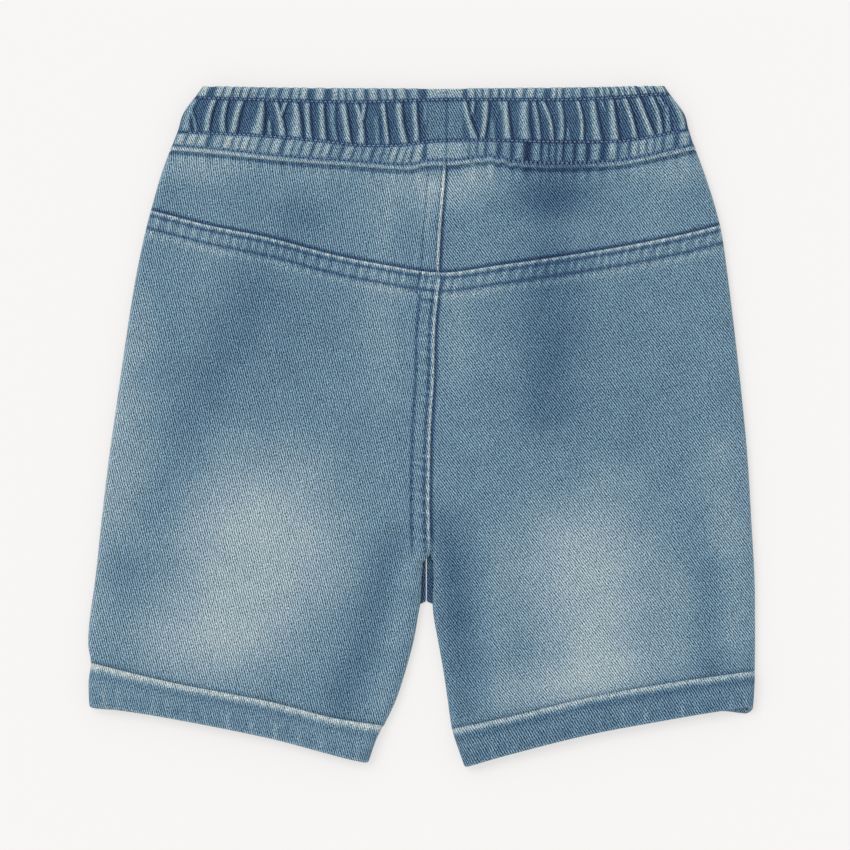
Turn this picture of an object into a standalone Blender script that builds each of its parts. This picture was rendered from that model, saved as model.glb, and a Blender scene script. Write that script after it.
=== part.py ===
"""Toddler's pull-on denim shorts, laid flat on a table with the back up.

The cloth lies in two layers: the back (two yokes and two leg panels) over
the front (two leg panels). An elastic waistband loop closes the top and a
turned-up cuff goes round each leg. X runs across the back, Y runs from the
hems to the waist and Z is up from the table.

Sizes are in millimetres. "up" is a height above the lowest point of the
hems, along Y, and "across" is a distance from the middle of the box, along X.
"""

import math
from collections import namedtuple

import bmesh
import bpy
from mathutils import Vector

MM = 0.001
LENGTH = 305.6             # lowest point of the hems to the top of the waistband
SEAM_GAP = 0.4             # between panels that are sewn together
LOOP_GAP = 0.5             # between a panel and the waistband or cuff that it joins

CLOTH = 1.1                # one wall of denim
SEAM_CLOTH = 2.0           # the same wall where a felled seam doubles it
SEAM_RISE = 0.7            # how far a felled seam stands above the cloth
BAND_WALL = 2.8            # waistband: two layers of denim round the elastic
CUFF_WALL = 2.4            # cuff: three layers of denim
CUFF_HEIGHT = 6.9          # top of a cuff above the table
SIDE_HEIGHT = 2.6          # height of the side seams and inseams above the table
EDGE_ROLL = 4.0            # how far in from its edge a panel turns down
EDGE_ANGLES = (0, 12, 34, 62)
LOOP_ROLL = 3.6            # how far the rounded sides of the waistband and cuffs reach in
LOOP_ANGLES = (72, 54, 36, 18, 0, -18, -36, -54, -72)
YOKE_SEAM_WIDTH = 9.0      # felled seam below each yoke
CENTRE_SEAM_WIDTH = 8.5    # felled seam down the middle of the back
STEP = 0.8                 # length of the slope at the edge of a felled seam

Level = namedtuple("Level", "up left right")
Mark = namedtuple("Mark", "across up")
Crown = namedtuple("Crown", "up height")
Gather = namedtuple("Gather", "foot top rise")
BandRow = namedtuple("BandRow", "up height ripple depth")
CuffRow = namedtuple("CuffRow", "up depth")
Fold = namedtuple("Fold", "across_a up_a across_b up_b width rise")
Denim = namedtuple("Denim", "colour roughness")

# A column or a row of a panel: a share of the way across plus an inset from
# there, how far the cloth sinks to its side seam, and its ripple in a gather.
Station = namedtuple("Station", "share inset sink ripple", defaults=(0.0, 0.0, 0.0))

# A stop on the way round a loop: over the garment or under it by a share of
# its width, or round one of its sides by an angle above the middle.
Stop = namedtuple("Stop", "face share angle gather", defaults=(0.0, 0.0, 0))

# The outer edges of the garment, level by level.
SIDES = [Level(*row) for row in (
    (20.0, -148.0, 147.0),
    (28.0, -148.9, 148.6),
    (38.0, -149.2, 149.4),
    (46.5, -148.2, 149.5),
    (55.0, -149.4, 149.6),
    (66.0, -148.8, 149.6),
    (84.0, -146.3, 149.4),
    (111.0, -143.4, 147.9),
    (138.0, -140.2, 146.3),
    (165.0, -136.4, 143.8),
    (192.0, -132.5, 140.8),
    (219.0, -128.2, 137.5),
    (240.0, -123.8, 134.5),
    (253.0, -120.4, 131.2),
    (266.0, -116.6, 127.0),
    (278.0, -112.2, 122.6),
    (286.0, -109.2, 120.0),
    (293.0, -107.0, 118.0),
    (300.0, -102.0, 112.8),
    (305.6, -97.6, 109.0),
)]

# The inner edges of the two legs, from the cuffs up to the crotch.
INSEAMS = [Level(*row) for row in (
    (0.0, -24.6, 19.4),
    (12.0, -20.2, 15.0),
    (18.0, -17.2, 13.5),
    (30.0, -11.5, 11.8),
    (44.0, -6.9, 9.7),
    (58.0, -3.2, 7.2),
    (68.0, -1.5, 5.4),
    (75.0, -0.3, 5.0),
    (84.0, 0.1, 5.4),
    (90.0, 0.6, 5.3),
)]

# The seam down the middle of the back: its ridge, from the crotch to the waistband.
CENTRE_SEAM = [Mark(*row) for row in (
    (3.4, 94.0),
    (2.9, 120.0),
    (3.5, 151.0),
    (4.9, 175.0),
    (5.5, 198.0),
    (8.0, 223.0),
    (9.0, 241.0),
    (11.2, 268.0),
)]
CROTCH_UP = 91.0           # where the back legs part
CROTCH_CURVE = 5.0         # height over which a back leg's edge turns into the seam
CROTCH_FADE = 16.0         # height over which the roll of the inseams fades out
FRONT_CROTCH_UP = 73.0     # where the front legs part
FRONT_CROTCH_CURVE = 1.6
FRONT_CROTCH_ACROSS = 2.2
FRONT_CROTCH_FADE = 9.0    # the same below the front's crotch
FRONT_SEAM_LEAN = 60.0     # height over which the front's seam leans into the back's

# Top edge of the felled seam between the yokes and the leg panels.
YOKE_SEAM = [Mark(*row) for row in (
    (-123.0, 250.4),
    (-96.0, 243.4),
    (-68.0, 237.6),
    (-41.0, 230.4),
    (-17.0, 225.6),
    (8.5, 222.0),
    (34.0, 225.2),
    (62.0, 229.2),
    (91.0, 233.9),
    (118.0, 239.3),
    (135.0, 243.6),
)]

# Lower edge of the waistband.
BAND_FOOT = [Mark(*row) for row in (
    (-113.0, 276.6),
    (-90.0, 274.6),
    (-62.0, 271.6),
    (-34.0, 269.6),
    (-6.0, 267.8),
    (14.0, 269.6),
    (31.0, 271.4),
    (42.0, 269.4),
    (60.0, 268.4),
    (88.0, 269.6),
    (106.0, 273.0),
    (124.0, 277.2),
)]

# Top edges and hems of the two turned-up cuffs.
LEFT_CUFF_TOP = [Mark(*row) for row in (
    (-149.0, 46.6),
    (-112.0, 37.6),
    (-68.0, 29.0),
    (-40.0, 21.8),
    (-17.0, 18.2),
)]
LEFT_HEM = [Mark(*row) for row in (
    (-147.0, 27.2),
    (-118.0, 22.9),
    (-68.0, 13.0),
    (-34.0, 4.0),
    (-22.5, 1.6),
)]
RIGHT_CUFF_TOP = [Mark(*row) for row in (
    (13.0, 16.6),
    (39.0, 22.2),
    (74.0, 30.6),
    (110.0, 37.2),
    (149.5, 42.8),
)]
RIGHT_HEM = [Mark(*row) for row in (
    (19.5, 0.0),
    (39.0, 5.6),
    (74.0, 14.4),
    (110.0, 21.2),
    (147.0, 27.4),
)]

# Height of the upper cloth above the table, from the hems to the waistband.
CROWN = [Crown(*row) for row in (
    (0.0, 5.2),
    (40.0, 5.2),
    (75.0, 4.8),
    (120.0, 5.0),
    (170.0, 5.2),
    (225.0, 4.9),
    (255.0, 5.2),
    (280.0, 5.8),
)]

# The largest soft folds of the back: a trough has a negative rise.
FOLDS = [Fold(*row) for row in (
    (-66.0, 236.0, -104.0, 155.0, 13.0, -0.8),
    (-104.0, 160.0, -129.0, 86.0, 12.0, -0.8),
    (56.0, 262.0, 55.0, 160.0, 13.0, -0.9),
    (-12.0, 106.0, -37.0, 24.0, 8.0, -1.1),
    (-2.0, 100.0, -18.0, 24.0, 6.0, 0.6),
    (13.0, 112.0, 21.0, 24.0, 8.0, -1.1),
    (28.0, 112.0, 36.0, 30.0, 7.0, 0.7),
    (129.0, 92.0, 131.0, 44.0, 8.0, -0.9),
    (-62.0, 110.0, -80.0, 60.0, 26.0, 0.6),
    (72.0, 112.0, 80.0, 56.0, 26.0, 0.6),
    (31.0, 264.0, 23.0, 234.0, 4.0, 0.6),
    (-60.0, 190.0, -30.0, 150.0, 20.0, 0.5),
    (96.0, 215.0, 104.0, 140.0, 20.0, 0.4),
)]
FOLD_END = 16.0            # length over which a fold fades out at its ends

# Gathers of the waistband: the ridge's place at the lower edge and at the top.
GATHERS = [Gather(*row) for row in (
    (-103.5, -99.5, 0.8),
    (-96.2, -92.7, 1.3),
    (-89.1, -87.3, 1.1),
    (-83.6, -81.0, 1.1),
    (-73.0, -71.3, 1.7),
    (-62.3, -63.9, 1.4),
    (-55.2, -57.2, 1.7),
    (-49.4, -51.0, 1.0),
    (-43.7, -44.7, 1.3),
    (-38.4, -39.7, 0.7),
    (-32.6, -34.6, 1.2),
    (-26.2, -27.2, 1.6),
    (-19.6, -21.6, 0.7),
    (-14.6, -16.4, 1.2),
    (-7.8, -9.4, 1.4),
    (-1.8, -3.0, 1.1),
    (3.8, 2.8, 0.6),
    (11.4, 11.2, 0.4),
    (18.6, 18.0, 0.5),
    (23.6, 23.0, 1.5),
    (28.6, 28.9, 1.2),
    (38.2, 37.0, 1.3),
    (46.9, 46.0, 1.6),
    (52.4, 51.2, 1.1),
    (57.8, 56.0, 1.2),
    (63.0, 62.2, 1.0),
    (72.0, 70.7, 1.3),
    (78.8, 76.8, 1.7),
    (86.8, 84.8, 1.3),
    (95.6, 91.2, 1.3),
    (102.6, 97.2, 1.4),
    (107.4, 102.6, 1.1),
    (113.2, 107.2, 1.0),
)]

# The waistband's wall, from its lower edge over the top fold and down inside.
# up is a share of its height, depth is a share of its wall.
BAND_ROWS = [BandRow(*row) for row in (
    (0.00, 6.2, 0.3, 0.32),
    (0.00, 6.2, 0.5, 0.04),
    (0.06, 6.5, 0.3, 0.0),
    (0.17, 7.1, 0.6, 0.0),
    (0.30, 6.5, 0.3, 0.0),
    (0.40, 7.1, 0.9, 0.0),
    (0.57, 7.4, 1.0, 0.0),
    (0.75, 7.1, 0.9, 0.0),
    (0.84, 6.5, 0.4, 0.0),
    (0.93, 6.9, 0.7, 0.0),
    (0.985, 6.5, 0.5, 0.18),
    (1.00, 6.2, 0.2, 0.47),
    (0.97, 6.2, 0.0, 0.93),
    (0.00, 6.2, 0.0, 1.0),
)]

# A cuff's wall, from its top edge down outside, round the hem and up inside.
CUFF_ROWS = [CuffRow(*row) for row in (
    (1.00, 0.33),
    (0.985, 0.04),
    (0.90, 0.0),
    (0.45, 0.04),
    (0.05, 0.04),
    (0.00, 0.42),
    (0.03, 1.0),
    (1.00, 1.0),
)]
CUFF_FOLD_SHARE = 0.5      # share of the leg's folds that a cuff keeps
CUFF_FOLD_LIFT = 12.0      # how far up the leg those folds are read

# How far the hem's under layer peeks out at each outer corner.
UNDER_HEM_DROP = {-1: 0.8, 1: 3.4}
UNDER_HEM_REACH = 16.0

GATHER_REACH = 14.0        # how far the gathers run down into the yokes
GATHER_IN_YOKE = 0.45      # share of a gather's rise that a yoke keeps
YOKE_SIDE_MARGIN = 0.05    # shares of a yoke's width that stay plain at its edges
YOKE_MIDDLE_MARGIN = 0.10

# How finely the pieces are divided.
GATHER_PARTS = 4
BAND_UNDER_STEPS = 26
CUFF_STEPS = 20
CUFF_UNDER_STEPS = 12
BACK_COLUMNS = 13
BACK_ROWS = (6, 10)        # below and above the crotch
FRONT_COLUMNS = 10
FRONT_ROWS = (4, 8)
YOKE_ROWS = 6
CROTCH_STEPS = (0.0, 0.35, 0.65, 1.0)
PLAIN_COLUMNS = (0.03, 0.93)  # the share of a panel's width between its edges
BACK_PLAIN_ROWS = 0.955    # the share of a back panel's height below its felled seam

WAISTBAND_DENIM = Denim((0.105, 0.185, 0.260), 0.88)
YOKE_DENIM = Denim((0.150, 0.235, 0.295), 0.88)
BACK_DENIM = Denim((0.160, 0.245, 0.305), 0.88)
FRONT_DENIM = Denim((0.150, 0.230, 0.290), 0.88)
CUFF_DENIM = Denim((0.130, 0.210, 0.270), 0.88)


def ease(share):
    """Goes smoothly from 0 to 1."""
    share = min(max(share, 0.0), 1.0)
    return share * share * (3.0 - 2.0 * share)


def mix(a, b, share):
    return a + (b - a) * share


def read_curve(points, at):
    """The value at one place on the smooth curve through (place, value) points."""
    at = min(max(at, points[0][0]), points[-1][0])
    low = 0
    while low < len(points) - 2 and points[low + 1][0] <= at:
        low += 1

    def slope(index):
        before = points[max(index - 1, 0)]
        after = points[min(index + 1, len(points) - 1)]
        return (after[1] - before[1]) / (after[0] - before[0])

    span = points[low + 1][0] - points[low][0]
    t = (at - points[low][0]) / span
    rise = points[low + 1][1] - points[low][1]
    start = slope(low) * span
    end = slope(low + 1) * span
    return (points[low][1] + start * t
            + (3 * rise - 2 * start - end) * t ** 2
            + (start + end - 2 * rise) * t ** 3)


def side_across(side, up):
    """The outer edge of the garment: side is -1 on the left, 1 on the right."""
    return read_curve([(row.up, row.left if side < 0 else row.right) for row in SIDES], up)


def inseam_across(side, up):
    return read_curve([(row.up, row.left if side < 0 else row.right) for row in INSEAMS], up)


def centre_across(up):
    return read_curve([(row.up, row.across) for row in CENTRE_SEAM], up)


def back_middle(side, up):
    """The inner edge of a back piece: the inseam, then the seam up the middle."""
    seam = centre_across(up) + side * SEAM_GAP / 2
    return mix(inseam_across(side, up), seam, ease((up - CROTCH_UP) / CROTCH_CURVE))


def front_middle(side, up):
    """The inner edge of a front piece: its legs part lower than the back's."""
    lean = ease((up - CROTCH_UP) / FRONT_SEAM_LEAN)
    seam = mix(FRONT_CROTCH_ACROSS, centre_across(up), lean) + side * SEAM_GAP / 2
    closed = ease((up - FRONT_CROTCH_UP) / FRONT_CROTCH_CURVE)
    return mix(inseam_across(side, up), seam, closed)


def yoke_seam_up(across):
    return read_curve(YOKE_SEAM, across)


def band_foot_up(across):
    return read_curve(BAND_FOOT, across)


def cuff_top_up(side, across):
    return read_curve(LEFT_CUFF_TOP if side < 0 else RIGHT_CUFF_TOP, across)


def hem_up(side, across):
    return read_curve(LEFT_HEM if side < 0 else RIGHT_HEM, across)


def meet(read_across, read_up):
    """Height at which an edge that runs up meets one that runs across."""
    up = LENGTH / 2
    for _ in range(20):
        up = read_up(read_across(up))
    return up


def fold_height(across, up):
    """Sum of the soft folds at one place."""
    total = 0.0
    for fold in FOLDS:
        start = Vector((fold.across_a, fold.up_a))
        along = Vector((fold.across_b, fold.up_b)) - start
        length = along.length
        along.normalize()
        offset = Vector((across, up)) - start
        run = offset.dot(along)
        away = (offset - along * run).length
        ends = ease(0.5 + run / FOLD_END) * ease(0.5 + (length - run) / FOLD_END)
        total += fold.rise * ends * math.exp(-(away / fold.width) ** 2)
    return total


def cloth_height(across, up):
    """Top of the back's cloth above the table."""
    return read_curve(CROWN, up) + fold_height(across, up)


def gather_at(index, part, share):
    """Where the cloth is, part of the way from one gather to the next and a
    share of the way up the waistband, and how far it ripples up there."""
    here = GATHERS[index]
    after = GATHERS[min(index + 1, len(GATHERS) - 1)]
    across = mix(mix(here.foot, here.top, share), mix(after.foot, after.top, share), part)
    return across, mix(here.rise, after.rise, part) * math.cos(2 * math.pi * part)


def make_material(name, denim):
    material = bpy.data.materials.new(name)
    material.use_nodes = True
    shader = material.node_tree.nodes["Principled BSDF"]
    shader.inputs["Base Color"].default_value = (*denim.colour, 1.0)
    shader.inputs["Roughness"].default_value = denim.roughness
    shader.inputs["Metallic"].default_value = 0.0
    material.diffuse_color = (*denim.colour, 1.0)
    return material


def finish(obj, name, denim):
    """Names a piece, gives it its denim and puts it in the garment's collection."""
    obj.name = name
    obj.data.name = name
    obj.data.materials.append(make_material(name + "_denim", denim))
    obj.data.shade_smooth()
    obj.data.set_sharp_from_angle(angle=math.radians(40))
    for collection in list(obj.users_collection):
        collection.objects.unlink(obj)
    garment.objects.link(obj)
    return obj


def to_world(across, up, height):
    return Vector((across * MM, (up - LENGTH / 2) * MM, height * MM))


def cloth_sheet(name, denim, columns, rows, place, face_down=False):
    """A wall of cloth on a grid. place() gives a point of its outer face and
    the wall's thickness there, for one column and one row."""
    bpy.ops.mesh.primitive_grid_add(x_subdivisions=len(columns) - 1,
                                    y_subdivisions=len(rows) - 1, size=2)
    obj = bpy.context.object
    thickness = obj.vertex_groups.new(name="thickness")
    for vertex in obj.data.vertices:
        column = columns[round((vertex.co.x + 1) / 2 * (len(columns) - 1))]
        row = rows[round((vertex.co.y + 1) / 2 * (len(rows) - 1))]
        across, up, height, wall = place(column, row)
        vertex.co = to_world(across, up, height)
        thickness.add([vertex.index], wall / SEAM_CLOTH, "REPLACE")
    faces_down = sum(face.normal.z * face.area for face in obj.data.polygons) < 0
    if faces_down != face_down:
        obj.data.flip_normals()
    cloth = obj.modifiers.new("cloth", "SOLIDIFY")
    cloth.thickness = SEAM_CLOTH * MM
    cloth.vertex_group = thickness.name
    cloth.offset = -1.0
    cloth.use_quality_normals = True
    return finish(obj, name, denim)


def cloth_loop(name, denim, stops, wall_rows, place):
    """A closed loop of cloth: a torus whose points are laid round the garment."""
    bpy.ops.mesh.primitive_torus_add(major_segments=len(stops),
                                     minor_segments=len(wall_rows))
    obj = bpy.context.object
    for vertex in obj.data.vertices:
        stop = stops[vertex.index // len(wall_rows)]
        row = wall_rows[vertex.index % len(wall_rows)]
        vertex.co = to_world(*place(stop, row))
    mesh = bmesh.new()
    mesh.from_mesh(obj.data)
    bmesh.ops.recalc_face_normals(mesh, faces=mesh.faces)
    mesh.to_mesh(obj.data)
    mesh.free()
    return finish(obj, name, denim)


def panel_edges(outer, inner, foot_line, top_line):
    """The four edges of a panel, each a function of the share of the way
    along it: the side seam, the inner edge, the foot and the top."""
    def edge_up(read_across):
        low = meet(read_across, foot_line)
        high = meet(read_across, top_line)

        def point(share):
            up = mix(low, high, share)
            return Vector((read_across(up), up))
        return point

    def edge_over(read_up, share_up):
        start = side_edge(share_up).x
        end = inner_edge(share_up).x

        def point(share):
            across = mix(start, end, share)
            return Vector((across, read_up(across)))
        return point

    side_edge = edge_up(outer)
    inner_edge = edge_up(inner)
    return side_edge, inner_edge, edge_over(foot_line, 0.0), edge_over(top_line, 1.0)


def patch_point(edges, column, row):
    """A point inside the four edges, from its column's and its row's stations."""
    side_edge, inner_edge, foot, top = edges
    tall = (side_edge(1.0) - side_edge(0.0)).length
    v = row.share + row.inset / tall
    wide = (inner_edge(v) - side_edge(v)).length
    u = column.share + column.inset / wide
    low = side_edge(0.0).lerp(inner_edge(0.0), u)
    high = side_edge(1.0).lerp(inner_edge(1.0), u)
    return (side_edge(v).lerp(inner_edge(v), u)
            + foot(u).lerp(top(u), v) - low.lerp(high, v))


def even_stations(count, first=0.0, last=1.0):
    """Stations strictly between two shares of the way."""
    return [Station(mix(first, last, step / (count + 1))) for step in range(1, count + 1)]


def rolled_edge(share, direction):
    """Stations from an edge inwards, where the cloth turns down to its side seam."""
    stations = []
    for degrees in EDGE_ANGLES:
        angle = math.radians(degrees)
        inset = direction * EDGE_ROLL * (1 - math.cos(angle))
        stations.append(Station(share, inset, 1 - math.sin(angle)))
    return stations


def seam_edge(width):
    """The last stations before an edge with a felled seam along it."""
    return [Station(1.0, -width - STEP), Station(1.0, -width)]


def in_seam(station, width):
    """Whether a station is on the felled seam along the last edge."""
    return station.share == 1.0 and -station.inset <= width


def rows_past_crotch(edges, crotch_up, curve, counts, last):
    """Rows up a leg panel, close together where its inner edge turns at the crotch."""
    low, high = edges[1](0.0).y, edges[1](1.0).y
    start = (crotch_up - low) / (high - low)
    end = (crotch_up + curve - low) / (high - low)
    rows = [Station(0.0)] + even_stations(counts[0], 0.0, start)
    rows += [Station(mix(start, end, step)) for step in CROTCH_STEPS]
    return rows + even_stations(counts[1], end, last)


def make_back(name, side):
    """A back leg panel: its top edge laps the yoke in a felled seam, and on
    the left one the inner edge laps the right panel above the crotch."""
    edges = panel_edges(lambda up: side_across(side, up),
                        lambda up: back_middle(side, up),
                        lambda across: cuff_top_up(side, across) + LOOP_GAP,
                        lambda across: yoke_seam_up(across) - SEAM_GAP / 2)
    columns = rolled_edge(0.0, 1) + even_stations(BACK_COLUMNS, *PLAIN_COLUMNS)
    columns += seam_edge(CENTRE_SEAM_WIDTH) + rolled_edge(1.0, -1)[::-1]
    rows = rows_past_crotch(edges, CROTCH_UP, CROTCH_CURVE, BACK_ROWS, BACK_PLAIN_ROWS)
    rows += seam_edge(YOKE_SEAM_WIDTH) + [Station(1.0)]

    def place(column, row):
        point = patch_point(edges, column, row)
        above_crotch = ease((point.y - CROTCH_UP) / CROTCH_FADE)
        lap = 0.0
        if side < 0 and in_seam(column, CENTRE_SEAM_WIDTH):
            lap = above_crotch
        if in_seam(row, YOKE_SEAM_WIDTH):
            lap = 1.0
        sink = column.sink
        if column.share == 1.0:
            sink *= 1 - above_crotch
        height = cloth_height(point.x, point.y) + SEAM_RISE * lap
        height = mix(height, SIDE_HEIGHT + SEAM_GAP, sink)
        return point.x, point.y, height, mix(CLOTH, SEAM_CLOTH, lap * (1 - sink))

    return cloth_sheet(name, BACK_DENIM, columns, rows, place)


def make_yoke(name, side):
    """A yoke, gathered into the waistband: the left one laps the right one."""
    edges = panel_edges(lambda up: side_across(side, up),
                        lambda up: centre_across(up) + side * SEAM_GAP / 2,
                        lambda across: yoke_seam_up(across) + SEAM_GAP / 2,
                        lambda across: band_foot_up(across) - LOOP_GAP)
    start, end = edges[3](0.0).x, edges[3](1.0).x
    gathered = []
    for index in range(len(GATHERS) - 1):
        for part in (0.0, 0.5):
            across, ripple = gather_at(index, part, 0.0)
            share = (across - start) / (end - start)
            if YOKE_SIDE_MARGIN < share < 1 - YOKE_MIDDLE_MARGIN:
                gathered.append(Station(share, ripple=ripple))
    columns = rolled_edge(0.0, 1) + sorted(gathered)
    columns += seam_edge(CENTRE_SEAM_WIDTH) + [Station(1.0)]
    rows = [Station(0.0)] + even_stations(YOKE_ROWS) + [Station(1.0)]

    def place(column, row):
        point = patch_point(edges, column, row)
        lap = 1.0 if side < 0 and in_seam(column, CENTRE_SEAM_WIDTH) else 0.0
        below_band = band_foot_up(point.x) - point.y
        gathers = GATHER_IN_YOKE * (1 - ease(below_band / GATHER_REACH))
        height = cloth_height(point.x, point.y) + SEAM_RISE * lap + gathers * column.ripple
        height = mix(height, SIDE_HEIGHT + SEAM_GAP, column.sink)
        return point.x, point.y, height, mix(CLOTH, SEAM_CLOTH, lap)

    return cloth_sheet(name, YOKE_DENIM, columns, rows, place)


def make_front(name, side):
    """A plain front leg panel, flat on the table and turned up at its side seams."""
    edges = panel_edges(lambda up: side_across(side, up),
                        lambda up: front_middle(side, up),
                        lambda across: cuff_top_up(side, across) + LOOP_GAP,
                        lambda across: band_foot_up(across) - LOOP_GAP)
    columns = rolled_edge(0.0, 1) + [Station(0.0, EDGE_ROLL)]
    columns += even_stations(FRONT_COLUMNS, *PLAIN_COLUMNS)
    columns += [Station(1.0, -EDGE_ROLL)] + rolled_edge(1.0, -1)[::-1]
    rows = rows_past_crotch(edges, FRONT_CROTCH_UP, FRONT_CROTCH_CURVE, FRONT_ROWS, 1.0)
    rows += [Station(1.0)]

    def place(column, row):
        point = patch_point(edges, column, row)
        sink = column.sink
        if column.share == 1.0:
            sink *= ease((FRONT_CROTCH_UP - point.y) / FRONT_CROTCH_FADE)
        return point.x, point.y, (SIDE_HEIGHT - SEAM_GAP) * sink, CLOTH

    return cloth_sheet(name, FRONT_DENIM, columns, rows, place, face_down=True)


def make_waistband(name):
    """The gathered waistband: one loop, flat below where it lies on the table."""
    stops = [Stop("over", part / GATHER_PARTS, gather=index)
             for index in range(len(GATHERS) - 1) for part in range(GATHER_PARTS)]
    stops += [Stop("over", gather=len(GATHERS) - 1)]
    stops += [Stop("right", angle=degrees) for degrees in LOOP_ANGLES]
    stops += [Stop("under", step / BAND_UNDER_STEPS) for step in range(BAND_UNDER_STEPS + 1)]
    stops += [Stop("left", angle=degrees) for degrees in LOOP_ANGLES[::-1]]

    def place(stop, row):
        def up_at(across):
            return mix(band_foot_up(across), LENGTH, row.up)

        def end(side):
            """Where the rounded side of the waistband starts."""
            up = meet(lambda up: side_across(side, up), up_at)
            return side_across(side, up) - side * LOOP_ROLL

        depth = row.depth * BAND_WALL
        half = row.height / 2
        if stop.face == "over":
            across, ripple = gather_at(stop.gather, stop.share, row.up)
            height = row.height + row.ripple * ripple - depth
        elif stop.face == "under":
            across = mix(end(1), end(-1), stop.share)
            height = depth
        else:
            side = -1 if stop.face == "left" else 1
            angle = math.radians(stop.angle)
            across = end(side) + side * (LOOP_ROLL - depth) * math.cos(angle)
            height = half + (half - depth) * math.sin(angle)
        return across, up_at(across), height

    return cloth_loop(name, WAISTBAND_DENIM, stops, BAND_ROWS, place)


def make_cuff(name, side):
    """A turned-up cuff: one loop round the end of a leg."""
    stops = [Stop("over", step / CUFF_STEPS) for step in range(CUFF_STEPS + 1)]
    stops += [Stop("inner", angle=degrees) for degrees in LOOP_ANGLES]
    stops += [Stop("under", step / CUFF_UNDER_STEPS) for step in range(CUFF_UNDER_STEPS + 1)]
    stops += [Stop("outer", angle=degrees) for degrees in LOOP_ANGLES[::-1]]
    corner = side_across(side, meet(lambda up: side_across(side, up),
                                    lambda across: hem_up(side, across)))

    def place(stop, row):
        angle = math.radians(stop.angle)
        under = {"over": 0.0, "under": 1.0}.get(stop.face, (1 - math.sin(angle)) / 2)

        def up_at(across):
            near_corner = ease(1 - abs(across - corner) / UNDER_HEM_REACH)
            hem = hem_up(side, across) - UNDER_HEM_DROP[side] * under * near_corner
            return mix(hem, cuff_top_up(side, across), row.up)

        def end(face):
            """Where the rounded side of the cuff starts."""
            read = side_across if face == "outer" else inseam_across
            low = meet(lambda up: read(side, up), lambda across: hem_up(side, across))
            high = meet(lambda up: read(side, up), lambda across: cuff_top_up(side, across))
            outward = side if face == "outer" else -side
            return read(side, mix(low, high, row.up)) - outward * LOOP_ROLL, outward

        depth = row.depth * CUFF_WALL
        half = CUFF_HEIGHT / 2
        if stop.face in ("inner", "outer"):
            start, outward = end(stop.face)
            across = start + outward * (LOOP_ROLL - depth) * math.cos(angle)
            return across, up_at(across), half + (half - depth) * math.sin(angle)
        outer, inner = end("outer")[0], end("inner")[0]
        if stop.face == "under":
            across = mix(inner, outer, stop.share)
            return across, up_at(across), depth
        across = mix(outer, inner, stop.share)
        folds = CUFF_FOLD_SHARE * fold_height(across, up_at(across) + CUFF_FOLD_LIFT)
        return across, up_at(across), CUFF_HEIGHT + folds - depth

    return cloth_loop(name, CUFF_DENIM, stops, CUFF_ROWS, place)


for leftover in list(bpy.data.objects):
    bpy.data.objects.remove(leftover, do_unlink=True)
garment = bpy.data.collections.new("denim_shorts")
bpy.context.scene.collection.children.link(garment)

make_waistband("waistband")
for label, hand in (("left", -1), ("right", 1)):
    make_yoke("yoke_" + label, hand)
    make_back("back_" + label, hand)
    make_front("front_" + label, hand)
    make_cuff("cuff_" + label, hand)
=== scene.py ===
"""Toddler's pull-on denim shorts, laid flat with the back up and seen from above.

Lengths are in millimetres until a mesh is made. "up" is a height above the
lowest point of the hems, along Y, and "across" is a distance from the middle
of the garment, along X.
"""

import math
from collections import namedtuple

import bpy
import numpy as np
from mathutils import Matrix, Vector


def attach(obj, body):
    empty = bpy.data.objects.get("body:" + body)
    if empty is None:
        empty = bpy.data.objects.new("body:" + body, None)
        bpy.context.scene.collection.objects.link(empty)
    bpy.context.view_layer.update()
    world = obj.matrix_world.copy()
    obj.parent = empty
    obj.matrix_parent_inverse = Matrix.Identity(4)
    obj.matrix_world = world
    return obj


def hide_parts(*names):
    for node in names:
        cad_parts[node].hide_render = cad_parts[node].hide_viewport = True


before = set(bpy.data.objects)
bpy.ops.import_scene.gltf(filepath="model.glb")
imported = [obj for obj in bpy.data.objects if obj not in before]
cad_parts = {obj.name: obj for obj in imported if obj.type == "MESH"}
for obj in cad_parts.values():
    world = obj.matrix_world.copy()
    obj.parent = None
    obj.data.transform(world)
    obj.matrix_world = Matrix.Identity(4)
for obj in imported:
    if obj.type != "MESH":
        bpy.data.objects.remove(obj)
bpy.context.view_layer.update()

# ---------------------------------------------------------------------------
# Table and light. A flat lay on a near-white table, under one broad soft light
# from the upper left in an even pale room, seen from straight above.
# ---------------------------------------------------------------------------

MM = 0.001
TABLE_SIDE = 4.0
TABLE_DROP = 0.00005            # keeps the table's face just below the cloth's
TABLE_COLOUR = (0.359, 0.349, 0.342)
TABLE_GLOW = (0.560, 0.548, 0.541)  # a white sheet lit from below, which thins the shadows
ROOM_COLOUR = (0.97, 0.985, 1.0)
ROOM_STRENGTH = 0.78
LIGHT_FROM = (-0.8, 0.7, 1.45)
LIGHT_SPREAD = 35.0             # degrees across, which makes its shadows soft
LIGHT_STRENGTH = 1.05
VIEW_SIDE = 0.3814              # stretch of table across the picture
VIEW_HEIGHT = 4.0
VIEW_CENTRE = (0.0016, 0.0007)
FILM_SIDE = 36.0


def make_table():
    bpy.ops.mesh.primitive_plane_add(size=TABLE_SIDE, location=(0, 0, -TABLE_DROP))
    table = bpy.context.object
    table.name = "table"
    material = bpy.data.materials.new("table_paint")
    material.use_nodes = True
    shader = material.node_tree.nodes["Principled BSDF"]
    shader.inputs["Base Color"].default_value = (*TABLE_COLOUR, 1.0)
    shader.inputs["Roughness"].default_value = 0.9
    shader.inputs["Emission Color"].default_value = (*TABLE_GLOW, 1.0)
    shader.inputs["Emission Strength"].default_value = 1.0
    table.data.materials.append(material)


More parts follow.
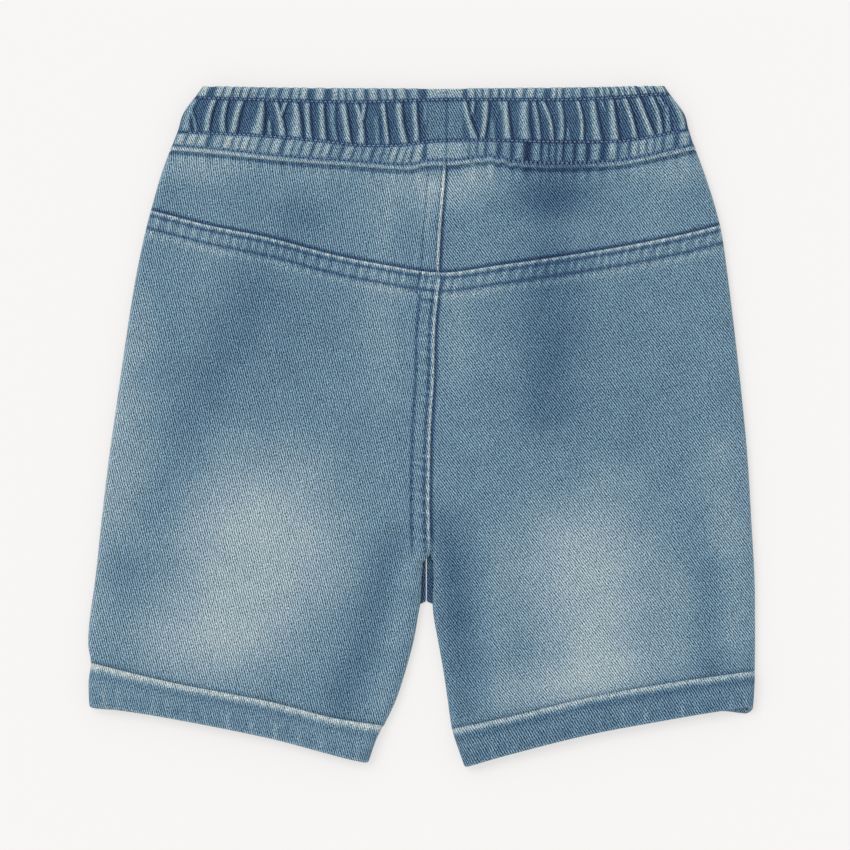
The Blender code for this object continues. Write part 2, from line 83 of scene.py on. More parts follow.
def make_light_and_view():
    scene = bpy.context.scene
    scene.view_settings.view_transform = "Standard"
    world = bpy.data.worlds.new("room")
    world.use_nodes = True
    room = world.node_tree.nodes["Background"]
    room.inputs["Color"].default_value = (*ROOM_COLOUR, 1.0)
    room.inputs["Strength"].default_value = ROOM_STRENGTH
    scene.world = world
    light = bpy.data.lights.new("soft_light", "SUN")
    light.angle = math.radians(LIGHT_SPREAD)
    light.energy = LIGHT_STRENGTH
    light_object = bpy.data.objects.new("soft_light", light)
    light_object.location = LIGHT_FROM
    light_object.rotation_euler = (-Vector(LIGHT_FROM)).to_track_quat("-Z", "Y").to_euler()
    scene.collection.objects.link(light_object)
    camera = bpy.data.cameras.new("view_from_above")
    camera.sensor_width = FILM_SIDE
    camera.lens = FILM_SIDE * VIEW_HEIGHT / VIEW_SIDE
    camera.clip_end = 20.0
    camera_object = bpy.data.objects.new("view_from_above", camera)
    camera_object.location = (*VIEW_CENTRE, VIEW_HEIGHT)
    scene.collection.objects.link(camera_object)
    scene.camera = camera_object


make_table()
make_light_and_view()

# ---------------------------------------------------------------------------
# Front panels. Two plain leg panels of washed indigo twill, face down on the
# table. They are cut like the back's, run up to the waistband in one piece
# and are sewn to the back at the side seams and inseams.
# ---------------------------------------------------------------------------

LENGTH = 305.6                  # lowest point of the hems to the top of the waistband
SEAM_GAP = 0.4                  # between panels that are sewn together
LOOP_GAP = 0.5                  # between a panel and the waistband or cuff it joins
CLOTH = 1.1                     # one wall of denim
SIDE_HEIGHT = 2.6               # the side seams and inseams above the table
EDGE_ROLL = 4.0                 # how far in from its edge a panel turns down
EDGE_INSETS = (0.0, 0.03, 0.1, 0.25, 0.5, 0.85, 1.25, 1.7, 2.2, 2.7, 3.3, 4.0)
CROTCH_UP = 91.0                # where the back legs part
CROTCH_CURVE = 5.0
FRONT_CROTCH_UP = 73.0          # where the front legs part
FRONT_CROTCH_CURVE = 1.6
FRONT_CROTCH_ACROSS = 2.2
FRONT_CROTCH_FADE = 9.0
FRONT_SEAM_LEAN = 60.0
FRONT_NOTCH = (4.0, 82.0)       # middle of the dark place between the back's legs: unfaded dye and painted shade
FRONT_COLUMNS = 48
FRONT_ROWS = 90
MEET_ROUNDS = 20                # enough to find where two edges meet

Level = namedtuple("Level", "up left right")
Mark = namedtuple("Mark", "across up")

# The outer edges of the garment, level by level.
SIDES = [Level(*row) for row in (
    (20.0, -148.0, 147.0),
    (28.0, -148.9, 148.6),
    (38.0, -149.2, 149.4),
    (46.5, -148.2, 149.5),
    (55.0, -149.4, 149.6),
    (66.0, -148.8, 149.6),
    (84.0, -146.3, 149.4),
    (111.0, -143.4, 147.9),
    (138.0, -140.2, 146.3),
    (165.0, -136.4, 143.8),
    (192.0, -132.5, 140.8),
    (219.0, -128.2, 137.5),
    (240.0, -123.8, 134.5),
    (253.0, -120.4, 131.2),
    (266.0, -116.6, 127.0),
    (278.0, -112.2, 122.6),
    (286.0, -109.2, 120.0),
    (293.0, -107.0, 118.0),
    (300.0, -102.0, 112.8),
    (305.6, -97.6, 109.0),
)]

# The inner edges of the two legs, from the cuffs up to the crotch.
INSEAMS = [Level(*row) for row in (
    (0.0, -24.6, 19.4),
    (12.0, -20.2, 15.0),
    (18.0, -17.2, 13.5),
    (30.0, -11.5, 11.8),
    (44.0, -6.9, 9.7),
    (58.0, -3.2, 7.2),
    (68.0, -1.5, 5.4),
    (75.0, -0.3, 5.0),
    (84.0, 0.1, 5.4),
    (90.0, 0.6, 5.3),
)]

# The seam down the middle of the back, from the crotch to the waistband.
CENTRE_SEAM = [Mark(*row) for row in (
    (3.4, 94.0),
    (2.9, 120.0),
    (3.5, 151.0),
    (4.9, 175.0),
    (5.5, 198.0),
    (8.0, 223.0),
    (9.0, 241.0),
    (11.2, 268.0),
)]
CENTRE_LAP = 0.9
CENTRE_LAP_TOP = 218.0          # the lap fades out from here up, under the yokes
CENTRE_LAP_FADE = 8.0

# Lower edge of the waistband, with its step at the middle and the small waves beside it.
BAND_STEP = 1.1
BAND_WAVE = 0.5
BAND_WAVE_PITCH = 6.2
BAND_WAVE_START = 29.2
BAND_WAVE_MIDDLE = 36.0
BAND_FOOT = [Mark(*row) for row in (
    (-113.0, 276.6),
    (-90.0, 274.6),
    (-62.0, 271.6),
    (-34.0, 269.6),
    (-6.0, 267.8),
    (14.0, 269.6),
    (31.0, 271.4),
    (42.0, 269.4),
    (60.0, 268.4),
    (88.0, 269.6),
    (106.0, 273.0),
    (124.0, 277.2),
)]

# Top edges of the two turned-up cuffs.
LEFT_CUFF_TOP = [Mark(*row) for row in (
    (-149.0, 46.6),
    (-112.0, 37.6),
    (-68.0, 29.0),
    (-40.0, 21.8),
    (-17.0, 18.2),
)]
RIGHT_CUFF_TOP = [Mark(*row) for row in (
    (13.0, 16.6),
    (39.0, 22.2),
    (74.0, 30.6),
    (110.0, 37.2),
    (149.5, 42.8),
)]

# Washed indigo, from the bottom of a crease to a bare worn edge (red, green, blue of 255).
INDIGO_STEPS = (
    (0.00, (20, 34, 58)),
    (0.18, (42, 67, 98)),
    (0.36, (69, 98, 121)),
    (0.52, (103, 131, 149)),
    (0.68, (138, 159, 170)),
    (0.84, (175, 187, 187)),
    (1.00, (210, 217, 208)),
)
RIB_PITCH = 0.00100             # metres between the ribs of the twill
RIB_ANGLE = 64.0                # degrees that the ribs stand up from the weft
WARP_PITCH = 0.00036            # metres between warp yarns
RIB_WANDER = 0.0005             # metres that a rib strays in all
RIB_SWING = 1.456               # how much the light swings between a rib and its groove,
GRAIN_SWING = 2.6               # from yarn to yarn
SLUB_SWING = 0.5                # and along a yarn that is thick and thin
DARK_SWING = 2.15               # share of those swings on the darkest cloth,
SWING_LOSS = 1.7                # what paler cloth loses of it
LEAST_SWING = 0.5               # and what is always left
LEAST_LIGHT, MOST_LIGHT = 0.12, 0.88
CLOUD_SWING = 0.10              # how much the tone swings from place to place
INK_AND_SHADE_DEPTH = 0.42                # tone that full ink and painted shade take away
WEAR_AND_HIGHLIGHT_LIFT = 0.8                 # tone that full wear and painted highlight add to bare yarns
FRONT_SHADE = 0.44
LEG_RIBS = {-1: 75, 1: 53}      # angle of the twill on the left and the right leg


def mix(a, b, share):
    return a + (b - a) * share


def ease(share):
    """Goes smoothly from 0 to 1."""
    share = np.clip(share, 0.0, 1.0)
    return share * share * (3.0 - 2.0 * share)


def bell(away, width):
    return np.exp(-(away / width) ** 2)


def read_curve(points, at):
    """Values on the smooth curve through (place, value) points."""
    place, value = np.array(points, float).T
    at = np.clip(at, place[0], place[-1])
    low = np.clip(np.searchsorted(place, at, side="right") - 1, 0, len(place) - 2)
    first = np.maximum(np.arange(len(place)) - 1, 0)
    last = np.minimum(np.arange(len(place)) + 1, len(place) - 1)
    slope = (value[last] - value[first]) / (place[last] - place[first])
    span = place[low + 1] - place[low]
    t = (at - place[low]) / span
    rise = value[low + 1] - value[low]
    start = slope[low] * span
    end = slope[low + 1] * span
    return (value[low] + start * t
            + (3 * rise - 2 * start - end) * t ** 2
            + (start + end - 2 * rise) * t ** 3)


def side_across(side, up):
    """The outer edge of the garment: side is -1 on the left, 1 on the right."""
    return read_curve([(row.up, row.left if side < 0 else row.right) for row in SIDES], up)


def inseam_across(side, up):
    return read_curve([(row.up, row.left if side < 0 else row.right) for row in INSEAMS], up)


def centre_across(up):
    """The fold of the middle seam. Below the yokes it laps past the solids' joint."""
    seam = read_curve([(row.up, row.across) for row in CENTRE_SEAM], up)
    return seam + CENTRE_LAP * (1 - ease((up - CENTRE_LAP_TOP) / CENTRE_LAP_FADE))


def band_foot_up(across):
    step = BAND_STEP * ease((across + 4.0) / 5.0) * (1 - ease((across - 3.0) / 14.0))
    waves = BAND_WAVE * np.sin(2 * math.pi * (across - BAND_WAVE_START) / BAND_WAVE_PITCH)
    waves = waves * bell(across - BAND_WAVE_MIDDLE, 9.0)
    return read_curve(BAND_FOOT, across) + step + waves


def cuff_top_up(side, across):
    return read_curve(LEFT_CUFF_TOP if side < 0 else RIGHT_CUFF_TOP, across)


def front_middle(side, up):
    """The inner edge of a front panel: its legs part lower than the back's."""
    lean = ease((up - CROTCH_UP) / FRONT_SEAM_LEAN)
    seam = mix(FRONT_CROTCH_ACROSS, centre_across(up), lean) + side * SEAM_GAP / 2
    closed = ease((up - FRONT_CROTCH_UP) / FRONT_CROTCH_CURVE)
    return mix(inseam_across(side, up), seam, closed)


def meet(read_across, read_up):
    """Height at which an edge that runs up meets one that runs across."""
    up = LENGTH / 2
    for _ in range(MEET_ROUNDS):
        up = read_up(read_across(up))
    return float(up)


def panel_edges(outer, inner, foot_line, top_line):
    """The four edges of a panel, each a function of the share of the way along it."""
    def edge_up(read_across):
        low = meet(read_across, foot_line)
        high = meet(read_across, top_line)

        def point(share):
            up = mix(low, high, np.asarray(share, float))
            return np.stack([read_across(up), up], axis=-1)
        return point

    def edge_over(read_up, share_up):
        start = side_edge(share_up)[0]
        end = inner_edge(share_up)[0]

        def point(share):
            across = mix(start, end, np.asarray(share, float))
            return np.stack([across, read_up(across)], axis=-1)
        return point

    side_edge = edge_up(outer)
    inner_edge = edge_up(inner)
    return side_edge, inner_edge, edge_over(foot_line, 0.0), edge_over(top_line, 1.0)


def patch_grid(edges, columns, rows):
    """Points inside the four edges for every row and column. A station is a
    share of the way, an inset from there and how far the cloth sinks."""
    side_edge, inner_edge, foot, top = edges
    tall = np.linalg.norm(side_edge(1.0) - side_edge(0.0))
    v = (rows[:, 0] + rows[:, 1] / tall)[:, None]
    wide = np.linalg.norm(inner_edge(v) - side_edge(v), axis=-1)
    u = columns[:, 0] + columns[:, 1] / wide
    v = np.broadcast_to(v, u.shape)
    u_, v_ = u[..., None], v[..., None]
    flat = mix(mix(side_edge(0.0), inner_edge(0.0), u_),
               mix(side_edge(1.0), inner_edge(1.0), u_), v_)
    points = mix(side_edge(v), inner_edge(v), u_) + mix(foot(u), top(u), v_) - flat
    return points[..., 0], points[..., 1]


def spread_stations(count, first, last):
    """Stations strictly between two shares of the way."""
    return [(mix(first, last, (step + 1) / (count + 1)), 0.0, 0.0) for step in range(count)]


def rolled_edge(share, direction):
    """Stations from an edge inwards, where the cloth turns down to its side seam."""
    return [(share, direction * inset, 1 - math.sqrt(1 - (1 - inset / EDGE_ROLL) ** 2))
            for inset in EDGE_INSETS]


def outward(points, facing):
    """Unit normals of a grid of points, all on the side that facing says."""
    normal = np.cross(np.gradient(points, axis=1), np.gradient(points, axis=0))
    normal /= np.maximum(np.linalg.norm(normal, axis=-1, keepdims=True), 1e-9)
    return normal * (facing if normal[..., 2].mean() > 0 else -facing)


def grid_faces(rows, columns, wrap=False):
    """Corners of the faces of a grid, closed both ways when wrap says so."""
    r, c = np.meshgrid(np.arange(rows if wrap else rows - 1),
                       np.arange(columns if wrap else columns - 1), indexing="ij")
    r2, c2 = (r + 1) % rows, (c + 1) % columns
    corners = np.stack([r * columns + c, r * columns + c2, r2 * columns + c2,
                        r2 * columns + c], axis=-1)
    return corners.reshape(-1, 4)


def make_cloth(name, points, faces, weave, marks, material):
    """A mesh of cloth. weave is where each corner of a face is on the flat cloth."""
    a, b, c, d = (points[faces[:, corner]] for corner in range(4))
    if (a * (np.cross(b, c) + np.cross(c, d))).sum() < 0:
        faces, weave = faces[:, ::-1], weave[:, ::-1]
    mesh = bpy.data.meshes.new(name)
    mesh.from_pydata((points * MM).tolist(), [], faces.tolist())
    layer = mesh.uv_layers.new(name="weave")
    layer.data.foreach_set("uv", (weave * MM).astype(np.float32).ravel())
    for label, values in marks.items():
        mark = mesh.attributes.new(label, "FLOAT", "POINT")
        mark.data.foreach_set("value", values.astype(np.float32).ravel())
    mesh.materials.append(material)
    mesh.shade_smooth()
    piece = bpy.data.objects.new(name, mesh)
    bpy.context.scene.collection.objects.link(piece)
    return piece


def cloth_wall(name, across, up, height, wall, facing, marks, material):
    """A closed wall of cloth: a grid of outer points, the same grid a wall's
    thickness further in and the rim between the two."""
    rows, columns = across.shape
    outer = np.stack([across, up - LENGTH / 2, height], axis=-1)
    inner = outer - outward(outer, facing) * wall[..., None]
    count = rows * columns
    index = np.arange(count).reshape(rows, columns)
    around = np.concatenate([index[0, :-1], index[:-1, -1], index[-1, :0:-1], index[:0:-1, 0]])
    onward = np.roll(around, -1)
    face = grid_faces(rows, columns)
    rim = np.stack([onward, around, around + count, onward + count], axis=-1)
    faces = np.concatenate([face, face[:, ::-1] + count, rim])
    step = np.diff(outer, axis=1)
    spare = np.linalg.norm(step[..., ::2], axis=-1) - np.abs(step[..., 0])
    spare = np.concatenate([np.zeros((rows, 1)), np.cumsum(spare, axis=1)], axis=1)
    spare -= spare[:, columns // 2, None]
    weave = np.stack([across + spare * np.sign(step[..., 0].mean()), up], axis=-1)
    weave = weave.reshape(-1, 2)[faces % count]
    doubled = {label: np.tile(values.ravel(), 2) for label, values in marks.items()}
    points = np.concatenate([outer.reshape(-1, 3), inner.reshape(-1, 3)])
    return make_cloth(name, points, faces, weave, doubled, material)


def join(tree, value, socket):
    """Sets a socket to a value, or joins it to another socket."""
    if isinstance(value, bpy.types.NodeSocket):
        tree.links.new(value, socket)
    else:
        socket.default_value = value


def fill(tree, node, sockets):
    """Fills or joins the sockets of a node by name."""
    for label, value in sockets.items():
        join(tree, value, node.inputs[label])
    return node


def put(tree, kind, *inputs, **settings):
    """Adds a node, then fills or joins its first sockets in their order."""
    node = tree.nodes.new(kind)
    for name, value in settings.items():
        setattr(node, name, value)
    for socket, value in zip(node.inputs, inputs):
        join(tree, value, socket)
    return node


def work_out(tree, operation, *inputs):
    return put(tree, "ShaderNodeMath", *inputs, operation=operation).outputs[0]


def noise(tree, vector, scale, detail=1.0):
    """Smooth noise from 0 to 1, with features one part in scale of a metre wide."""
    node = put(tree, "ShaderNodeTexNoise", noise_dimensions="2D")
    fill(tree, node, {"Vector": vector, "Scale": scale, "Detail": detail})
    return node.outputs[0]


def new_group(name, inputs, outputs):
    """An empty group of shader nodes with named sockets."""
    tree = bpy.data.node_groups.new(name, "ShaderNodeTree")
    for label, kind in inputs.items():
        tree.interface.new_socket(label, in_out="INPUT", socket_type="NodeSocket" + kind)
    for label, kind in outputs.items():
        tree.interface.new_socket(label, in_out="OUTPUT", socket_type="NodeSocket" + kind)
    return (tree, tree.nodes.new("NodeGroupInput").outputs,
            tree.nodes.new("NodeGroupOutput").inputs)


def linear(colour):
    """A colour of 0 to 255 as the light that it gives back."""
    share = np.array(colour) / 255
    return (*np.where(share > 0.04045, ((share + 0.055) / 1.055) ** 2.4, share / 12.92), 1.0)


def twill_group():
    """The ribs and yarns of a twill, from a place on the flat cloth in metres."""
    tree, given, result = new_group("twill", {"Weave": "Vector"}, {
        "Rib": "Float", "Grain": "Float", "Slub": "Float", "Height": "Float"})
    split = put(tree, "ShaderNodeSeparateXYZ", given["Weave"])
    x, y = split.outputs[0], split.outputs[1]
    sine, cosine = math.sin(math.radians(RIB_ANGLE)), math.cos(math.radians(RIB_ANGLE))
    wander = work_out(tree, "MULTIPLY_ADD", noise(tree, given["Weave"], 420.0),
                      RIB_WANDER, -RIB_WANDER / 2)
    over = work_out(tree, "MULTIPLY_ADD", x, sine,
                    work_out(tree, "MULTIPLY_ADD", y, cosine, wander))
    along = work_out(tree, "SUBTRACT", work_out(tree, "MULTIPLY", x, cosine),
                     work_out(tree, "MULTIPLY", y, sine))
    turn = work_out(tree, "COSINE", work_out(tree, "MULTIPLY", over, 2 * math.pi / RIB_PITCH))
    rib = work_out(tree, "MULTIPLY_ADD", turn, 0.5, 0.5)
    warp = work_out(tree, "COSINE", work_out(tree, "MULTIPLY", x, 2 * math.pi / WARP_PITCH))
    yarn = work_out(tree, "MULTIPLY_ADD", warp, 0.2, 0.8)
    rib_run = put(tree, "ShaderNodeCombineXYZ", over, work_out(tree, "MULTIPLY", along, 0.6), 0.0)
    warp_run = put(tree, "ShaderNodeCombineXYZ", x, work_out(tree, "MULTIPLY", y, 0.2), 0.0)
    tree.links.new(rib, result["Rib"])
    tree.links.new(noise(tree, rib_run.outputs[0], 2100.0), result["Grain"])
    tree.links.new(noise(tree, warp_run.outputs[0], 900.0, 2.0), result["Slub"])
    tree.links.new(work_out(tree, "MULTIPLY", rib, yarn), result["Height"])
    return tree


def denim_group(twill):
    """The colour of washed denim from its inputs: how pale the cloth is on the whole; how much
    paler it was sanded, with painted shade and light along the folds; wear that bares yarns,
    with painted highlights on gathers; and dye left in creases, with painted shade in
    creases, gaps and under edges."""
    tree, given, result = new_group("washed_denim", {
        "Weave": "Vector", "Shade": "Float", "Fade": "Float", "Wear_and_highlight": "Float", "Ink_and_shade": "Float",
    }, {"Color": "Color", "Height": "Float", "Roughness": "Float"})
    cloth = put(tree, "ShaderNodeGroup", node_tree=twill)
    tree.links.new(given["Weave"], cloth.inputs["Weave"])
    rib, grain, slub = (cloth.outputs[label] for label in ("Rib", "Grain", "Slub"))

    def swing(value, amount, level):
        """Adds a value of 0 to 1 to a level, by that amount about its middle."""
        return work_out(tree, "MULTIPLY_ADD", work_out(tree, "SUBTRACT", value, 0.5), amount, level)

    tone = work_out(tree, "ADD", given["Shade"], given["Fade"])
    tone = work_out(tree, "MULTIPLY_ADD", given["Ink_and_shade"], -INK_AND_SHADE_DEPTH, tone)
    bare = work_out(tree, "MULTIPLY", work_out(tree, "MULTIPLY_ADD", grain, 0.4, 0.3), WEAR_AND_HIGHLIGHT_LIFT)
    tone = work_out(tree, "MULTIPLY_ADD", given["Wear_and_highlight"], bare, tone)
    tone = swing(noise(tree, given["Weave"], 60.0, 3.0), CLOUD_SWING, tone)
    # The yarns differ in how light they are and hardly in hue, most where the dye is left.
    yarns = swing(slub, SLUB_SWING, swing(grain, GRAIN_SWING, swing(rib, RIB_SWING, 0.0)))
    dyed = work_out(tree, "MAXIMUM", work_out(tree, "MULTIPLY_ADD", tone, -SWING_LOSS, DARK_SWING),
                    LEAST_SWING)
    light = work_out(tree, "MAXIMUM", work_out(tree, "MULTIPLY_ADD", yarns, dyed, 1.0), LEAST_LIGHT)
    ramp = put(tree, "ShaderNodeValToRGB", tone)
    steps = ramp.color_ramp.elements
    for at, colour in INDIGO_STEPS[1:-1]:
        steps.new(at)
    for step, (at, colour) in zip(steps, INDIGO_STEPS):
        step.position = at
        step.color = linear(colour)
    lit = fill(tree, put(tree, "ShaderNodeVectorMath", ramp.outputs[0], operation="SCALE"),
               {"Scale": light})
    most = put(tree, "ShaderNodeVectorMath", lit.outputs[0], (MOST_LIGHT,) * 3,
               operation="MINIMUM")
    tree.links.new(most.outputs[0], result["Color"])
    tree.links.new(cloth.outputs["Height"], result["Height"])
    tree.links.new(work_out(tree, "MULTIPLY_ADD", rib, -0.12, 0.95), result["Roughness"])
    return tree


washed_denim = denim_group(twill_group())


def denim(name, shade, ribs):
    """Denim of one piece: ribs is the angle at which its twill lies on the table."""
    material = bpy.data.materials.new(name)
    material.use_nodes = True
    tree = material.node_tree
    shader = tree.nodes["Principled BSDF"]
    weave = put(tree, "ShaderNodeUVMap", uv_map="weave")
    grain = put(tree, "ShaderNodeMapping", weave.outputs[0])
    grain.inputs["Rotation"].default_value[2] = math.radians(ribs - RIB_ANGLE)
    cloth = put(tree, "ShaderNodeGroup", node_tree=washed_denim)
    fill(tree, cloth, {"Weave": grain.outputs[0], "Shade": shade})
    for label in ("Fade", "Wear_and_highlight", "Ink_and_shade"):
        mark = put(tree, "ShaderNodeAttribute", attribute_name=label.lower())
        join(tree, mark.outputs["Fac"], cloth.inputs[label])
    relief = fill(tree, put(tree, "ShaderNodeBump"), {
        "Strength": 0.5, "Distance": 0.00022, "Height": cloth.outputs["Height"]})
    fill(tree, shader, {
        "Base Color": cloth.outputs["Color"], "Roughness": cloth.outputs["Roughness"],
        "Normal": relief.outputs[0], "Specular IOR Level": 0.25,
        "Sheen Weight": 0.06, "Sheen Roughness": 0.6})
    return material


def crotch_stations(edges, crotch_up, reach, count):
    """Stations close together where the inner edge of a panel turns at the crotch."""
    low, high = edges[1](0.0)[1], edges[1](1.0)[1]
    ups = np.linspace(crotch_up - 0.4, crotch_up + reach, count)
    return [((up - low) / (high - low), 0.0, 0.0) for up in ups]


def make_front(name, side):
    edges = panel_edges(lambda up: side_across(side, up),
                        lambda up: front_middle(side, up),
                        lambda across: cuff_top_up(side, across) + LOOP_GAP,
                        lambda across: band_foot_up(across) - LOOP_GAP)
    columns = np.array(rolled_edge(0.0, 1) + spread_stations(FRONT_COLUMNS, 0.035, 0.965)
                       + rolled_edge(1.0, -1)[::-1])
    rows = [(0.0, 0.0, 0.0), (1.0, 0.0, 0.0)] + spread_stations(FRONT_ROWS, 0.0, 1.0)
    rows += crotch_stations(edges, FRONT_CROTCH_UP, FRONT_CROTCH_CURVE, 9)
    across, up = patch_grid(edges, columns, np.array(sorted(rows)))
    sink = np.where(columns[:, 0] == 1.0,
                    columns[:, 2] * ease((FRONT_CROTCH_UP - up) / FRONT_CROTCH_FADE),
                    columns[:, 2])
    # The cloth that shows between the back's legs is darker: unfaded dye, and painted shade.
    notch = bell(across - FRONT_NOTCH[0], 9.0) * bell(up - FRONT_NOTCH[1], 13.0)
    marks = {"fade": 0.0 * across, "wear_and_highlight": 0.35 * sink, "ink_and_shade": 0.55 * notch}
    panel = cloth_wall(name + "_cloth", across, up, (SIDE_HEIGHT - SEAM_GAP) * sink,
                       np.full_like(across, CLOTH), -1, marks,
                       denim(name + "_denim", FRONT_SHADE, LEG_RIBS[side]))
    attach(panel, "root")
    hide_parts(name)
    return panel


for label, hand in (("left", -1), ("right", 1)):
    panel = make_front("front_" + label, hand)

# ---------------------------------------------------------------------------
# Back panels. Two leg panels of the same twill, sanded pale on the thighs. Each
# laps the yoke above it in a felled seam, and above the crotch the left one
# laps the right one in another. Both seams have two rows of indigo stitches.
# ---------------------------------------------------------------------------

CENTRE_SEAM_WIDTH = 9.4         # felled seam down the middle of the back
YOKE_SEAM_WIDTH = 9.0           # felled seam below each yoke
SEAM_RISE = 0.7                 # how far a felled seam stands above the cloth
SEAM_FOLD = 0.9                 # how far in from its edge a felled seam is rounded
SEAM_TUCK = 1.6                 # how far the lower cloth goes under the upper
CUFF_TUCK = 2.0
CROTCH_FADE = 16.0
FOLD_END = 16.0
SEAM_ROWS = (2.6, 8.4)          # rows of stitches in from the folded edge
STITCH_PITCH = 2.6
BACK_SHADE = 0.50
CLOSE_STEP = 0.5                # between columns or rows along a seam
CLOSE_REACH = 11.0              # how far in from the seam they stay that close
BACK_COLUMNS = 92
BACK_ROWS = 120
LAP_REACH = 1.8                 # width of the upper cloth's thin lip over the lower
LAP_FADE = 0.8
LIP_GAP = 0.05                  # between that lip and the lower cloth
LEAST_LIP = 0.08
LOWER_SINK = 0.1                # how far the lower cloth's edge is pressed down
LOWER_WALL = 0.9                # its wall there
STITCH_DENT = 0.2               # how deep a row of stitches lies
PUCKER_PITCHES = (4.7, 2.9)     # long and short puckers along a seam
YOKE_PUCKERS, CENTRE_PUCKERS = 0.16, 0.14  # their rise on each felled seam
PUCKER_WEAR = (0.42, 0.34)      # wear on their crests, and
PUCKER_INK = (0.22, 0.18)       # ink in their hollows, below the yokes and up the middle
FOLD_WEAR_WIDTH = 0.85          # worn line along the fold of a seam
BACK_FOLD_WEAR = (0.66, 0.3)    # its level and swing below the yokes
CENTRE_FOLD_WEAR = (0.70, 0.25)
# Darkening in the stitches' dents, and a painted shadow in the groove beside a lapped seam.
STITCH_INK, GROOVE_SHADOW = 0.62, 0.8
PALE_LINE_BELOW_SEAM = 10.9              # pale line below the yokes' seam
PALE_LINE_STRENGTH = 0.22
DENTS_TOP = 215.0               # the dents of the middle seam's stitches fade out here

Crown = namedtuple("Crown", "up height")
Fold = namedtuple("Fold", "across_a up_a across_b up_b width rise")
Patch = namedtuple("Patch", "across up half_width half_height tilt pale")

# Top edge of the felled seam between the yokes and the leg panels.
YOKE_SEAM = [Mark(*row) for row in (
    (-123.0, 250.4),
    (-96.0, 243.4),
    (-68.0, 237.6),
    (-41.0, 230.4),
    (-17.0, 225.6),
    (8.5, 222.0),
    (34.0, 225.2),
    (62.0, 229.2),
    (91.0, 233.9),
    (118.0, 239.3),
    (135.0, 243.6),
)]

# Height of the upper cloth above the table, from the hems to the waistband.
CROWN = [Crown(*row) for row in (
    (0.0, 5.2),
    (40.0, 5.2),
    (75.0, 4.8),
    (120.0, 5.0),
    (170.0, 5.2),
    (225.0, 4.9),
    (255.0, 5.2),
    (280.0, 5.8),
)]

# The soft folds of the back: a trough has a negative rise.
FOLDS = [Fold(*row) for row in (
    (-66.0, 236.0, -104.0, 155.0, 13.0, -0.8),
    (-104.0, 160.0, -129.0, 86.0, 12.0, -0.8),
    (56.0, 262.0, 55.0, 160.0, 13.0, -0.9),
    (-12.0, 106.0, -37.0, 24.0, 8.0, -1.1),
    (-2.0, 100.0, -18.0, 24.0, 6.0, 0.6),
    (13.0, 112.0, 21.0, 24.0, 8.0, -1.1),
    (28.0, 112.0, 36.0, 30.0, 7.0, 0.7),
    (129.0, 92.0, 131.0, 44.0, 8.0, -0.9),
    (-62.0, 110.0, -80.0, 60.0, 26.0, 0.6),
    (72.0, 112.0, 80.0, 56.0, 26.0, 0.6),
    (31.0, 264.0, 23.0, 234.0, 4.0, 0.6),
    (-60.0, 190.0, -30.0, 150.0, 20.0, 0.5),
    (96.0, 215.0, 104.0, 140.0, 20.0, 0.4),
)]

# Where the cloth was sanded pale, and a few places where it is darker.
PATCHES = [Patch(*row) for row in (
    (-76.0, 98.0, 36.0, 50.0, -14.0, 0.24),
    (74.0, 86.0, 30.0, 46.0, 8.0, 0.22),
    (82.0, 52.0, 18.0, 20.0, 0.0, 0.06),
    (-18.6, 200.0, 9.0, 34.0, 0.0, 0.08),
    (18.0, 196.0, 9.0, 30.0, 0.0, 0.07),
    (107.0, 245.0, 14.0, 12.0, 0.0, 0.04),
    (-42.0, 94.0, 16.0, 20.0, 0.0, 0.05),
    (-80.0, 66.0, 32.0, 15.0, 0.0, 0.05),
    (12.0, 260.0, 20.0, 10.0, 0.0, 0.13),
    (-100.0, 234.0, 15.0, 14.0, 0.0, 0.05),
    (-18.0, 254.0, 12.0, 11.0, 0.0, 0.06),
    (-54.0, 246.0, 13.0, 9.0, 0.0, -0.09),
    (-62.0, 228.0, 18.0, 9.0, 0.0, -0.05),
    (-50.0, 205.0, 14.0, 15.0, 0.0, -0.04),
    (-105.0, 54.0, 32.0, 16.0, -12.0, 0.12),
    (66.0, 37.0, 34.0, 13.0, 10.0, 0.15),
    (107.0, 50.0, 13.0, 12.0, 0.0, 0.04),
    (118.0, 68.0, 12.0, 24.0, 0.0, 0.06),
    (-100.0, 268.0, 16.0, 9.0, 0.0, 0.08),
    (112.0, 268.0, 14.0, 9.0, 0.0, 0.06),
)]

# Broad darker and paler strokes: uneven tone left by the wash, and painted shade in the
# troughs and painted light on the ridges of the back's folds. rise is the tone that a stroke adds.
WASH_AND_FOLD_SHADE_STROKES = [Fold(*row) for row in (
    (55.9, 262.0, 55.9, 153.0, 13.0, -0.08),
    (59.0, 276.0, 63.0, 250.0, 18.0, -0.19),
    (-125.0, 214.0, -128.0, 182.0, 8.0, 0.08),
    (60.0, 232.0, 61.0, 110.0, 19.0, -0.06),
    (96.0, 205.0, 90.0, 140.0, 14.0, -0.02),
    (-62.0, 200.0, -72.0, 130.0, 20.0, -0.04),
    (-135.0, 190.0, -141.0, 110.0, 10.0, 0.12),
    (-125.0, 168.0, -129.0, 95.0, 12.0, 0.06),
    (-143.0, 112.0, -146.0, 60.0, 7.0, 0.07),
    (133.0, 150.0, 141.0, 50.0, 10.0, 0.08),
    (17.0, 98.0, 20.0, 60.0, 9.0, -0.04),
    (3.5, 265.0, 1.5, 238.0, 3.0, 0.10),
    (-14.0, 262.0, -16.0, 232.0, 3.5, 0.04),
    (-69.3, 221.0, -104.8, 153.0, 12.0, -0.08),
    (-104.8, 153.0, -129.0, 85.0, 12.0, -0.05),
    (-11.9, 104.5, -36.6, 22.9, 8.0, -0.10),
    (-4.0, 100.0, -20.0, 24.0, 5.0, 0.05),
    (12.3, 112.6, 20.4, 22.9, 9.0, -0.10),
    (34.0, 110.0, 36.0, 30.0, 6.0, 0.04),
    (129.4, 93.0, 129.4, 39.0, 8.0, -0.08),
)]

